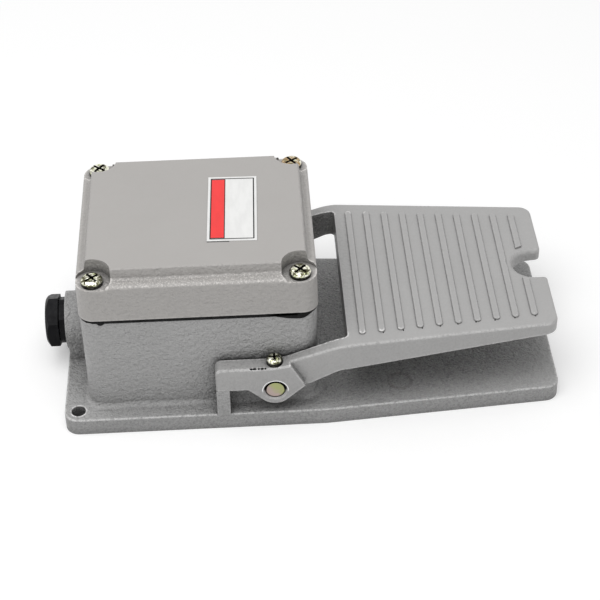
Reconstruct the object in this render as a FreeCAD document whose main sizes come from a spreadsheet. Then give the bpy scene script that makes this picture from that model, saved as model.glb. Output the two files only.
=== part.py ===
import FreeCAD, Part
import math
import os
import re
import Sketcher

# Industrial foot switch: cast base with an open-top box, lid, and a cast pedal on a shaft.
# Frame: +X from the cable gland to the pedal's free end, +Y away from the near side, +Z up.
# The origin is the centre of the base plate's underside. Millimetres.

SIZES = {
    # How far a cut runs past the face that it starts from
    "cut_past": 1.0,
    # Base plate
    "base_length": 240.0,
    "base_margin": 9.5,
    "base_taper": 9.0,
    "base_height": 9.0,
    "base_corner": 7.0,
    "taper_start": 6.0,
    "base_edge": 0.8,
    "fixing_radius": 3.5,
    "fixing_inset_end": 6.75,
    "fixing_inset_side": 6.75,
    "front_fixing_inset": 9.0,
    # Box on the base
    "box_length": 110.5,
    "box_width": 98.0,
    "box_inset": 12.0,
    "box_top": 61.5,
    "box_corner": 7.0,
    "box_wall": 4.0,
    "box_floor": 6.0,
    "floor_tap": 4.8,
    "floor_screw": 4.2,
    "box_foot": 2.5,
    "cavity_corner": 3.0,
    # Cover and its screws
    "gasket_height": 1.6,
    "gasket_setback": 0.4,
    "cover_overhang": 0.5,
    "cover_height": 24.7,
    "cover_draft": 1.2,
    "cover_corner": 7.5,
    "cover_wall": 3.5,
    "cover_edge": 1.5,
    "panel_rise": 5.4,
    "panel_inset_end": 4.1,
    "panel_inset_side": 6.1,
    "panel_draft": 10.0,
    "panel_foot": 1.4,
    "panel_edge": 0.9,
    "notch_sink": 7.0,
    "notch_radius": 8.6,
    "notch_skin": 2.5,
    "clearance_hole": 0.25,
    "screw_inset_end": 7.6,
    "screw_inset_side": 6.0,
    "screw_post_radius": 5.5,
    "cover_screw_radius": 2.5,
    "cover_head_radius": 5.1,
    "cover_head_height": 3.2,
    "thread_depth": 20.0,
    "cover_screw_grip": 12.0,
    # Pivot
    "pivot_inset": 101.5,
    "pivot_height": 23.0,
    "shaft_radius": 5.0,
    "shaft_recess": 0.7,
    "shaft_chamfer": 0.6,
    "hub_mouth": 0.8,
    "running_gap": 0.04,
    "screw_gap": 0.05,
    "bush_wall": 2.0,
    "bush_length": 7.5,
    "bush_boss_wall": 3.0,
    "seal_ring_section": 0.9,
    "seal_ring_gap": 0.08,
    # Pedal
    "arm_gap": 2.0,
    "arm_wall": 4.7,
    "hub_rise": 2.8,
    "hub_corner_height": 25.4,
    "arm_splay": 2.0,
    "tread_top": 46.5,
    "tread_start": 136.5,
    "tread_end": 237.0,
    "tread_taper": 9.7,
    "tread_plate": 4.5,
    "tread_skirt_wall": 4.0,
    "skirt_end_bottom": 40.6,
    "skirt_start": 132.5,
    "skirt_start_bottom": 31.7,
    "arm_foot_length": 3.6,
    "arm_rise_bottom": 23.9,
    "arm_foot_height": 23.6,
    "tail_inset": 73.5,
    "tail_top": 36.9,
    "tail_bottom": 24.0,
    "tail_slope_start": 104.6,
    "tail_slope_end": 133.7,
    "tail_corner": 3.0,
    "arm_bend": 36.0,
    "underside_bend": 12.0,
    "hub_radius": 8.0,
    "hub_crest": 2.4,
    "hub_flank": 43.0,
    "tread_corner": 6.0,
    "arm_corner": 2.2,
    "notch_half_width": 9.7,
    "notch_depth": 15.3,
    "notch_mouth": 2.5,
    "notch_wall": 3.5,
    "rib_first": 143.5,
    "rib_pitch": 9.2,
    "rib_width": 3.2,
    "rib_height": 0.9,
    "rib_edge": 0.5,
    "rib_margin": 7.2,
    "pedal_edge": 1.2,
    "post_width": 6.3,
    "post_gap": 0.1,
    "clamp_screw_radius": 2.0,
    "clamp_head_radius": 3.85,
    "clamp_head_height": 3.8,
    "clamp_inset": 4.6,
    "spot_face_gap": 0.4,
    "shaft_flat_depth": 0.5,
    "shaft_flat_length": 6.0,
    # Cable gland
    "gland_height": 23.2,
    "gland_boss_radius": 14.4,
    "gland_foot_half_width": 13.5,
    "gland_thread_radius": 10.0,
    "gland_bore_radius": 7.0,
    "gland_flange_height": 2.6,
    "gland_flange_flats": 10.9,
    "gland_washer_height": 0.5,
    "gland_nut_flats": 12.0,
    "gland_nut_length": 6.4,
    "gland_nut_face": 11.0,
    "gland_nut_chamfer": 35.0,
    "gland_nut_gap": 0.4,
    "gland_nut_lip": 1.6,
    "gland_flange_turned": 11.6,
    "gland_neck_radius": 8.5,
    "gland_seal_radius": 4.5,
    "gland_seal_length": 5.0,
    "gland_mouth_radius": 6.0,
    # Contact mechanism
    "lever_reach": 20.0,
    "lever_droop": 5.0,
    "lever_nose": 4.0,
    "lever_width": 10.0,
    "lever_arm_height": 6.0,
    "lever_hub_radius": 10.0,
    "lever_hub_width": 16.0,
    "pedal_travel": 10.0,
    "nose_gap": 0.2,
    "rod_head_radius": 6.0,
    "rod_head_height": 2.5,
    "rod_head_round": 0.7,
    "rod_radius": 2.5,
    "rod_tip_radius": 1.5,
    "spring_height": 14.0,
    "spring_radius": 4.6,
    "spring_wire": 0.7,
    "spring_turns": 4.5,
    "spring_seat_gap": 0.1,
    "bracket_sheet": 2.0,
    "bracket_width": 24.0,
    "bracket_half_span": 17.0,
    "bracket_foot": 10.0,
    "block_width": 22.0,
    "block_screw_radius": 1.6,
    "block_head_radius": 2.7,
    "block_head_gap": 0.3,
    "block_ear": 11.4,
    "block_wall": 2.5,
    "low_tier_half": 25.0,
    "low_tier_height": 9.0,
    "high_tier_half": 17.5,
    "block_cap_half": 11.0,
    "block_cap_height": 5.5,
    "chamber_half": 9.5,
    "strip_sheet": 1.0,
    "strip_width": 8.0,
    "strip_inner": 4.5,
    "contact_tip": 0.7,
    "contact_tip_radius": 1.8,
    "bridge_half": 8.0,
    "bridge_nut_height": 1.5,
    "contact_gap": 0.3,
    "terminal_radius": 1.5,
    "terminal_head": 2.8,
    "terminal_head_height": 1.8,
    "terminal_edge": 0.5,
    "terminal_tap": 5.4,
    "terminal_reach": 4.5,
    "contact_inset": 2.0,
    "small_screw_radius": 2.0,
    "small_head_radius": 3.8,
    "small_head_height": 2.4,
    "earth_screw_x": 60.0,
    "earth_screw_y": 33.0,
    # Label
    "label_length": 50.5,
    "label_width": 23.4,
    "label_sheet": 0.3,
    "label_inset": 84.8,
    "label_turn": 1.4,
}

RIB_COUNT = 10

doc = FreeCAD.newDocument("FootSwitch")
sheet = doc.addObject("Spreadsheet::Sheet", "Sizes")
for row, (size_name, size_value) in enumerate(SIZES.items(), start=1):
    sheet.set(f"A{row}", size_name)
    sheet.set(f"B{row}", str(size_value))
    sheet.setAlias(f"B{row}", size_name)
doc.recompute()

# Places that several pieces share, written as expressions in the sheet's sizes.
LEFT = "(-base_length / 2)"
BOX_LEFT = f"({LEFT} + box_inset)"
BOX_RIGHT = f"({BOX_LEFT} + box_length)"
BOX_MIDDLE = f"({BOX_LEFT} + box_length / 2)"
CAVITY_LEFT = f"({BOX_LEFT} + box_wall)"
CAVITY_RIGHT = f"({BOX_RIGHT} - box_wall)"
CAVITY_SIDE = "(box_width / 2 - box_wall)"
SCREW_LEFT = f"({BOX_LEFT} + screw_inset_end)"
SCREW_RIGHT = f"({BOX_RIGHT} - screw_inset_end)"
SCREW_SIDE = "(box_width / 2 - screw_inset_side)"
COVER_BOTTOM = "(box_top + gasket_height)"
COVER_TOP = f"({COVER_BOTTOM} + cover_height)"
RIM_TOP = f"({COVER_TOP} - panel_rise)"
NOTCH_FLOOR = f"({COVER_TOP} - notch_sink)"
PIVOT = f"({LEFT} + pivot_inset)"
BASE_SIDE = "(box_width / 2 + base_margin)"
BASE_END_SIDE = f"({BASE_SIDE} - base_taper)"
ARM_INNER = "(box_width / 2 + arm_gap)"
ARM_SIDE = f"({ARM_INNER} + arm_wall)"
HUB_FACE = f"({ARM_SIDE} + hub_rise)"
TREAD_END_SIDE = f"({ARM_SIDE} - tread_taper)"
CLAMP_SIDE = f"({HUB_FACE} - clamp_inset)"
BUSH_OUTER = "(shaft_radius + running_gap + bush_wall)"
ROD_X = f"({PIVOT} - lever_reach * cos(lever_droop))"
NOSE_Z = "(pivot_height - lever_reach * sin(lever_droop))"
ROD_BOTTOM = f"({NOSE_Z} + lever_nose + nose_gap)"
COLLAR_TOP = f"({ROD_BOTTOM} + rod_head_height)"
BRACKET_UNDER = f"({COLLAR_TOP} + spring_height)"
BLOCK_BOTTOM = f"({BRACKET_UNDER} + bracket_sheet)"
LOW_TIER_TOP = f"({BLOCK_BOTTOM} + low_tier_height)"
BRIDGE_BOTTOM = f"({LOW_TIER_TOP} + strip_sheet + 2 * contact_tip)"
ROD_TRAVEL = "(lever_reach * pedal_travel * pi / 180)"
HIGH_TIER_TOP = f"({BRIDGE_BOTTOM} + strip_sheet + 2 * contact_tip + {ROD_TRAVEL} + contact_gap)"
GLAND_FACE = LEFT
BLOCK_SCREW_SIDE = "(block_width / 2 + block_head_radius + block_head_gap)"

parts = {}


def bind(text):
    """Point every size name in an expression at its cell in the sheet."""
    return re.sub(r"[a-z]+(?:_[a-z]+)+", lambda found: "Sizes." + found.group(), text)


def value(text):
    """The number that an expression gives now."""
    return float(sheet.evalExpression(bind(text)))


def keep(node, thing):
    """Label a finished sub-part with its node's name and list it for export."""
    thing.Label = node
    parts[node] = thing


# Sketches and features of a body

def new_body(name):
    return doc.addObject("PartDesign::Body", name)


def new_sketch(body, role, lift="0"):
    """A sketch on one of the body's origin planes, lifted along the plane's normal."""
    sketch = body.newObject("Sketcher::SketchObject", "Sketch")
    origin_plane = next(item for item in body.Origin.OriginFeatures if item.Role == role)
    sketch.AttachmentSupport = [(origin_plane, "")]
    sketch.MapMode = "FlatFace"
    sketch.setExpression("AttachmentOffset.Base.z", bind(lift))
    return sketch


def fix_point(sketch, element, point, across, up):
    """Hold a sketch point at two expressions, measured from the sketch's origin."""
    for kind, text in (("DistanceX", across), ("DistanceY", up)):
        number = sketch.addConstraint(Sketcher.Constraint(kind, -1, 1, element, point, value(text)))
        sketch.setExpression(f"Constraints[{number}]", bind(text))


def add_polygon(sketch, corners):
    first = sketch.GeometryCount
    count = len(corners)
    points = [FreeCAD.Vector(value(across), value(up), 0) for across, up in corners]
    for index in range(count):
        sketch.addGeometry(Part.LineSegment(points[index], points[(index + 1) % count]))
    for index, (across, up) in enumerate(corners):
        before = first + (index - 1) % count
        sketch.addConstraint(Sketcher.Constraint("Coincident", before, 2, first + index, 1))
        fix_point(sketch, first + index, 1, across, up)


def add_rectangle(sketch, left, right, bottom, top):
    add_polygon(sketch, [(left, bottom), (right, bottom), (right, top), (left, top)])


def add_circle(sketch, across, up, radius):
    centre = FreeCAD.Vector(value(across), value(up), 0)
    circle = Part.Circle(centre, FreeCAD.Vector(0, 0, 1), value(radius))
    element = sketch.addGeometry(circle)
    fix_point(sketch, element, 3, across, up)
    number = sketch.addConstraint(Sketcher.Constraint("Radius", element, value(radius)))
    sketch.setExpression(f"Constraints[{number}]", bind(radius))


def add_slot(sketch, middle, half_length, half_width):
    """A round-ended slot along the sketch's second axis, centred on it."""
    x = value(middle)
    reach = value(half_length) - value(half_width)
    radius = value(half_width)
    up = FreeCAD.Vector(0, 0, 1)
    right = sketch.addGeometry(Part.LineSegment(FreeCAD.Vector(x + radius, -reach, 0),
                                                FreeCAD.Vector(x + radius, reach, 0)))
    top_circle = Part.Circle(FreeCAD.Vector(x, reach, 0), up, radius)
    top = sketch.addGeometry(Part.ArcOfCircle(top_circle, 0, math.pi))
    left = sketch.addGeometry(Part.LineSegment(FreeCAD.Vector(x - radius, reach, 0),
                                               FreeCAD.Vector(x - radius, -reach, 0)))
    low_circle = Part.Circle(FreeCAD.Vector(x, -reach, 0), up, radius)
    low = sketch.addGeometry(Part.ArcOfCircle(low_circle, math.pi, 2 * math.pi))
    sketch.addConstraint(Sketcher.Constraint("Tangent", right, 2, top, 1))
    sketch.addConstraint(Sketcher.Constraint("Tangent", top, 2, left, 1))
    sketch.addConstraint(Sketcher.Constraint("Tangent", left, 2, low, 1))
    sketch.addConstraint(Sketcher.Constraint("Tangent", low, 2, right, 1))
    fix_point(sketch, top, 3, middle, f"{half_length} - {half_width}")
    fix_point(sketch, low, 3, middle, f"{half_width} - {half_length}")
    number = sketch.addConstraint(Sketcher.Constraint("Radius", top, radius))
    sketch.setExpression(f"Constraints[{number}]", bind(half_width))


def extrude(body, kind, sketch, length, backwards=False, symmetric=False, taper=None):
    """Pad or pocket a sketch, and test that it changed the body's volume."""
    before = body.Shape.Volume if body.Shape and body.Shape.Solids else 0.0
    feature = body.newObject(f"PartDesign::{kind}", kind)
    feature.Profile = sketch
    feature.setExpression("Length", bind(length))
    feature.Reversed = backwards
    if symmetric:
        feature.SideType = "Symmetric"
    if taper:
        feature.setExpression("TaperAngle", bind(taper))
    doc.recompute()
    grew = feature.Shape.Volume - before
    if (grew > 0) != (kind == "Pad") or abs(grew) < 1e-3:
        raise RuntimeError(f"{body.Name}: {feature.Name} changed the volume by {grew:.3f}")
    return feature


def pad(body, sketch, length, **options):
    return extrude(body, "Pad", sketch, length, **options)


def pocket(body, sketch, length, **options):
    return extrude(body, "Pocket", sketch, length, **options)


def dress(body, kind, size, chosen, property_name="Radius"):
    """Fillet or chamfer the tip's edges for which chosen(edge) is true."""
    doc.recompute()
    base = body.Tip
    names = [f"Edge{number}" for number, edge in enumerate(base.Shape.Edges, start=1) if chosen(edge)]
    if not names:
        raise RuntimeError(f"{body.Name}: no edge to dress with {size}")
    feature = body.newObject(f"PartDesign::{kind}", kind)
    feature.Base = (base, names)
    feature.setExpression(property_name, bind(size))
    doc.recompute()
    return feature


def is_upright(edge):
    box = edge.BoundBox
    return box.XLength < 1e-4 and box.YLength < 1e-4 and box.ZLength > 1e-3


def middle_of(edge):
    return edge.BoundBox.Center


def lies_at(edge, level):
    """True for an edge that lies flat at one height."""
    return edge.BoundBox.ZLength < 1e-4 and abs(middle_of(edge).z - level) < 1e-3


def inside_plan(edge, left, right, side, slack=0.01):
    """True for an edge within a rectangle that is centred on the X axis."""
    box = edge.BoundBox
    return (box.XMin > left - slack and box.XMax < right + slack
            and box.YMin > -side - slack and box.YMax < side + slack)


def stands_at(edge, places, reach=0.05):
    """True for an upright edge at one of the given (x, y) places."""
    centre = middle_of(edge)
    return is_upright(edge) and any(math.hypot(centre.x - x, centre.y - y) < reach for x, y in places)


# Plain solids

AXES = {
    "x": FreeCAD.Rotation(FreeCAD.Vector(0, 1, 0), 90),
    "y": FreeCAD.Rotation(FreeCAD.Vector(1, 0, 0), -90),
    "z": FreeCAD.Rotation(),
}


def place(thing, x, y, z):
    for axis, text in (("x", x), ("y", y), ("z", z)):
        thing.setExpression(f"Placement.Base.{axis}", bind(text))
    return thing


def cylinder(radius, height, x, y, z, axis="z"):
    """A cylinder that starts at a point and runs along a row axis."""
    thing = doc.addObject("Part::Cylinder", "Cylinder")
    thing.Placement.Rotation = AXES[axis]
    thing.setExpression("Radius", bind(radius))
    thing.setExpression("Height", bind(height))
    return place(thing, x, y, z)


def box(x, y, z, low):
    """A box of the given lengths from its low corner."""
    thing = doc.addObject("Part::Box", "Box")
    for name, text in (("Length", x), ("Width", y), ("Height", z)):
        thing.setExpression(name, bind(text))
    return place(thing, *low)


def cut(base, tool):
    thing = doc.addObject("Part::Cut", "Cut")
    thing.Base = base
    thing.Tool = tool
    doc.recompute()
    if thing.Shape.Volume > base.Shape.Volume - 1e-4:
        raise RuntimeError(f"a cut from {base.Name} removed nothing")
    return thing


def fuse(*things):
    thing = doc.addObject("Part::MultiFuse", "Fusion")
    thing.Shapes = list(things)
    thing.Refine = True
    return thing


def common(*things):
    thing = doc.addObject("Part::MultiCommon", "Common")
    thing.Shapes = list(things)
    return thing


def group(*things):
    thing = doc.addObject("Part::Compound", "Group")
    thing.Links = list(things)
    return thing


def round_rims(thing, radius, height):
    """Round the circular edges of an upright solid that lie at one height."""
    doc.recompute()
    level = value(height)
    size = value(radius)
    rounded = doc.addObject("Part::Fillet", "Fillet")
    rounded.Base = thing
    rounded.Edges = [(number, size, size) for number, edge in enumerate(thing.Shape.Edges, start=1)
                     if edge.BoundBox.ZLength < 1e-4 and abs(middle_of(edge).z - level) < 1e-3]
    return rounded


# A screw head's crossed slot as shares of the head's radius and height, and the
# degrees by which the cover's screws came to rest, in the order of their places.
HEAD_ROUNDING = 0.6
CROSS_REACH = 0.7
CROSS_WIDTH = 0.25
CROSS_DEPTH = 0.5
COVER_SCREW_TURNS = (38, 52, 47, 33)


def turned_slot(x, y, level, length, width, depth, turn):
    """A slot's block about a point, turned from the X axis by a number of degrees."""
    slot = box(length, width, depth, ("0", "0", "0"))
    slot.Placement.Rotation = FreeCAD.Rotation(FreeCAD.Vector(0, 0, 1), turn)
    swing_x = f"({length} / 2 * cos({turn}) - {width} / 2 * sin({turn}))"
    swing_y = f"({length} / 2 * sin({turn}) + {width} / 2 * cos({turn}))"
    return place(slot, f"{x} - {swing_x}", f"{y} - {swing_y}", level)


def pan_screw(x, y, seat, head_radius, head_height, shank_radius, length, turn=0):
    """A pan-head screw with a crossed slot, driven down from its seat."""
    head_top = f"{seat} + {head_height}"
    blank = cylinder(head_radius, head_height, x, y, seat)
    head = round_rims(blank, f"{head_height} * {HEAD_ROUNDING}", head_top)
    shank = cylinder(shank_radius, f"{length} + {head_height} / 2", x, y, f"{seat} - {length}")
    long = f"({head_radius} * {CROSS_REACH} * 2)"
    wide = f"({head_radius} * {CROSS_WIDTH})"
    deep = f"({head_height} * {CROSS_DEPTH})"
    level = f"{seat} + {head_height} - {deep}"
    across, along = (turned_slot(x, y, level, long, wide, deep, angle) for angle in (turn, turn + 90))
    return cut(fuse(head, shank), fuse(across, along))


def set_screw(x, y, tip, radius, length):
    """A headless screw with a slot, its tip at the given height."""
    body = cylinder(radius, length, x, y, tip)
    slot = box(f"{radius} * 2 + 2 * cut_past", f"{radius} / 3", f"{radius} / 2",
               (f"{x} - {radius} - cut_past", f"{y} - {radius} / 6", f"{tip} + {length} - {radius} / 2"))
    return cut(body, slot)


def hexagon_bar(flats, length, x, y, z):
    """A hexagonal bar along X, from its low end, with corners up and down."""
    thing = doc.addObject("Part::Prism", "Hexagon")
    thing.Polygon = 6
    thing.Placement.Rotation = AXES["x"]
    thing.setExpression("Circumradius", bind(f"{flats} / cos(30)"))
    thing.setExpression("Height", bind(length))
    return place(thing, x, y, z)


# Casting with the base plate, the box, the gland boss and the stop posts

def build_base_housing():
    body = new_body("BaseHousing")
    right = "(base_length / 2)"
    plan = new_sketch(body, "XY_Plane")
    add_polygon(plan, [
        (LEFT, f"-{BASE_SIDE}"), ("taper_start", f"-{BASE_SIDE}"), (right, f"-{BASE_END_SIDE}"),
        (right, BASE_END_SIDE), ("taper_start", BASE_SIDE), (LEFT, BASE_SIDE)])
    pad(body, plan, "base_height")
    corners = [(value(LEFT), side * value(BASE_SIDE)) for side in (-1, 1)]
    corners += [(value(right), side * value(BASE_END_SIDE)) for side in (-1, 1)]
    dress(body, "Fillet", "base_corner", lambda edge: stands_at(edge, corners))
    plate_top = value("base_height")
    dress(body, "Fillet", "base_edge", lambda edge: lies_at(edge, plate_top))

    walls = new_sketch(body, "XY_Plane")
    add_rectangle(walls, BOX_LEFT, BOX_RIGHT, "-box_width / 2", "box_width / 2")
    pad(body, walls, "box_top")
    box_corners = [(value(x), side * value("box_width / 2"))
                   for x in (BOX_LEFT, BOX_RIGHT) for side in (-1, 1)]
    dress(body, "Fillet", "box_corner", lambda edge: stands_at(edge, box_corners))
    walls_box = (value(BOX_LEFT), value(BOX_RIGHT), value("box_width / 2"))
    dress(body, "Fillet", "box_foot", lambda edge: lies_at(edge, plate_top) and inside_plan(edge, *walls_box))

    cavity = new_sketch(body, "XY_Plane", "box_top")
    add_rectangle(cavity, CAVITY_LEFT, CAVITY_RIGHT, f"-{CAVITY_SIDE}", CAVITY_SIDE)
    pocket(body, cavity, "box_top - box_floor")
    cavity_corners = [(value(x), side * value(CAVITY_SIDE))
                      for x in (CAVITY_LEFT, CAVITY_RIGHT) for side in (-1, 1)]
    dress(body, "Fillet", "cavity_corner", lambda edge: stands_at(edge, cavity_corners))

    posts = new_sketch(body, "XY_Plane", "box_floor")
    threads = new_sketch(body, "XY_Plane", "box_top")
    for x, y in cover_screw_places():
        add_circle(posts, x, y, "screw_post_radius")
        add_circle(threads, x, y, "cover_screw_radius + screw_gap")
    pad(body, posts, "box_top - box_floor")
    pocket(body, threads, "thread_depth")

    # The XZ plane's normal points to the near side, so a lift is a distance towards -Y.
    for lift, backwards in ((CAVITY_SIDE, True), (f"-{CAVITY_SIDE}", False)):
        ring = new_sketch(body, "XZ_Plane", lift)
        add_circle(ring, PIVOT, "pivot_height", f"{BUSH_OUTER} + bush_boss_wall")
        pad(body, ring, "bush_length - box_wall / 2", backwards=backwards)
    bore = new_sketch(body, "XZ_Plane")
    add_circle(bore, PIVOT, "pivot_height", BUSH_OUTER)
    pocket(body, bore, "box_width + cut_past", symmetric=True)

    # Gland boss on the left wall, with the cast foot under it
    boss = new_sketch(body, "YZ_Plane", GLAND_FACE)
    add_circle(boss, "0", "gland_height", "gland_boss_radius")
    pad(body, boss, "box_inset + box_wall / 2")
    foot = new_sketch(body, "YZ_Plane", f"{LEFT} + base_edge")
    add_rectangle(foot, "-gland_foot_half_width", "gland_foot_half_width", "base_height / 2", "gland_height")
    pad(body, foot, "box_inset")
    gland_thread = new_sketch(body, "YZ_Plane", GLAND_FACE)
    add_circle(gland_thread, "0", "gland_height", "gland_thread_radius + screw_gap")
    pocket(body, gland_thread, "box_inset + box_wall", backwards=True)

    # Stop posts under the pedal's tails, flush with the plate's sides
    for near, far in ((f"-{BASE_SIDE}", "-box_width / 2 + box_wall / 2"),
                      ("box_width / 2 - box_wall / 2", BASE_SIDE)):
        post = new_sketch(body, "XY_Plane", "base_height / 2")
        add_rectangle(post, f"{LEFT} + tail_inset", f"{LEFT} + tail_inset + post_width", near, far)
        pad(body, post, "tail_bottom - post_gap - base_height / 2")

    # Fixing holes through the plate, and tapped holes in the floor of the box
    holes = new_sketch(body, "XY_Plane")
    for side in ("-1", "1"):
        add_circle(holes, f"{LEFT} + fixing_inset_end", f"{side} * ({BASE_SIDE} - fixing_inset_side)",
                   "fixing_radius")
    add_circle(holes, "base_length / 2 - front_fixing_inset", "0", "fixing_radius")
    pocket(body, holes, "base_height + cut_past", backwards=True)
    taps = new_sketch(body, "XY_Plane", "box_floor")
    for x, y in bracket_screw_places() + [(f"{LEFT} + earth_screw_x", "-earth_screw_y")]:
        add_circle(taps, x, y, "small_screw_radius + screw_gap")
    pocket(body, taps, "floor_tap")
    keep("base_housing", body)


def cover_screw_places():
    return [(x, y) for x in (SCREW_LEFT, SCREW_RIGHT) for y in (f"-{SCREW_SIDE}", SCREW_SIDE)]


def bracket_screw_places():
    """The four feet screws of the bracket."""
    out = "(bracket_half_span + bracket_foot / 2)"
    return [(f"{ROD_X} + {end} * bracket_width / 4", f"{side} * {out}")
            for end in ("-1", "1") for side in ("-1", "1")]


# Cover: drafted rim, raised panel with corner notches, hollow inside

def build_cover():
    body = new_body("Cover")
    left = f"({BOX_LEFT} - cover_overhang)"
    right = f"({BOX_RIGHT} + cover_overhang)"
    side = "(box_width / 2 + cover_overhang)"
    rim_top, top = value(RIM_TOP), value(COVER_TOP)

    rim = new_sketch(body, "XY_Plane", COVER_BOTTOM)
    add_rectangle(rim, left, right, f"-{side}", side)
    pad(body, rim, "cover_height - panel_rise", taper="-cover_draft")
    dress(body, "Fillet", "cover_corner", lambda edge: edge.BoundBox.ZLength > 1)
    dress(body, "Fillet", "cover_edge", lambda edge: lies_at(edge, rim_top))

    panel = new_sketch(body, "XY_Plane", RIM_TOP)
    panel_left = f"({left} + panel_inset_end)"
    panel_right = f"({right} - panel_inset_end)"
    panel_side = f"({side} - panel_inset_side)"
    add_rectangle(panel, panel_left, panel_right, f"-{panel_side}", panel_side)
    pad(body, panel, "panel_rise", taper="-panel_draft")
    foot_box = (value(panel_left), value(panel_right), value(panel_side))
    dress(body, "Fillet", "panel_foot", lambda edge: lies_at(edge, rim_top) and inside_plan(edge, *foot_box))
    dress(body, "Fillet", "panel_edge", lambda edge: lies_at(edge, top))

    notches = new_sketch(body, "XY_Plane", COVER_TOP)
    for x, y in cover_screw_places():
        add_circle(notches, x, y, "notch_radius")
    pocket(body, notches, "notch_sink")

    ceiling = f"({NOTCH_FLOOR} - cover_wall)"
    hollow = new_sketch(body, "XY_Plane", COVER_BOTTOM)
    add_rectangle(hollow, f"{left} + cover_wall", f"{right} - cover_wall",
                  f"cover_wall - {side}", f"{side} - cover_wall")
    pocket(body, hollow, f"{ceiling} - {COVER_BOTTOM}", backwards=True)
    # The space under the panel steps in round the four notches.
    under_panel = new_sketch(body, "XY_Plane", ceiling)
    out_left, out_right = f"({panel_left} + cover_wall)", f"({panel_right} - cover_wall)"
    out_side = f"({panel_side} - cover_wall)"
    in_left = f"({SCREW_LEFT} + notch_radius + notch_skin)"
    in_right = f"({SCREW_RIGHT} - notch_radius - notch_skin)"
    in_side = f"({SCREW_SIDE} - notch_radius - notch_skin)"
    add_polygon(under_panel, [
        (out_left, f"-{in_side}"), (in_left, f"-{in_side}"), (in_left, f"-{out_side}"),
        (in_right, f"-{out_side}"), (in_right, f"-{in_side}"), (out_right, f"-{in_side}"),
        (out_right, in_side), (in_right, in_side), (in_right, out_side),
        (in_left, out_side), (in_left, in_side), (out_left, in_side)])
    pocket(body, under_panel, "notch_sink", backwards=True)

    posts = new_sketch(body, "XY_Plane", COVER_BOTTOM)
    holes = new_sketch(body, "XY_Plane", COVER_BOTTOM)
    for x, y in cover_screw_places():
        add_circle(posts, x, y, "screw_post_radius")
        add_circle(holes, x, y, "cover_screw_radius + clearance_hole")
    pad(body, posts, "cover_height - notch_sink - cover_wall / 2")
    pocket(body, holes, "cover_height", backwards=True)
    keep("cover", body)


def build_cover_gasket():
    """A flat rubber frame on the rim of the box, with an eye round each cover screw."""
    body = new_body("CoverGasket")
    outer = new_sketch(body, "XY_Plane", "box_top")
    add_rectangle(outer, f"{BOX_LEFT} + gasket_setback", f"{BOX_RIGHT} - gasket_setback",
                  "gasket_setback - box_width / 2", "box_width / 2 - gasket_setback")
    pad(body, outer, "gasket_height")
    corners = [(value(x), side * value("box_width / 2 - gasket_setback"))
               for x in (f"{BOX_LEFT} + gasket_setback", f"{BOX_RIGHT} - gasket_setback")
               for side in (-1, 1)]
    dress(body, "Fillet", "box_corner - gasket_setback", lambda edge: stands_at(edge, corners))
    inner = new_sketch(body, "XY_Plane", "box_top")
    add_rectangle(inner, CAVITY_LEFT, CAVITY_RIGHT, f"-{CAVITY_SIDE}", CAVITY_SIDE)
    pocket(body, inner, "gasket_height", backwards=True)
    eyes = new_sketch(body, "XY_Plane", "box_top")
    holes = new_sketch(body, "XY_Plane", "box_top")
    for x, y in cover_screw_places():
        add_circle(eyes, x, y, "screw_post_radius")
        add_circle(holes, x, y, "cover_screw_radius + clearance_hole")
    pad(body, eyes, "gasket_height")
    pocket(body, holes, "gasket_height", backwards=True)
    keep("cover_gasket", body)


# Pedal: tread with ribs and skirts, two arms with hubs and tails, in one casting

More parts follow.
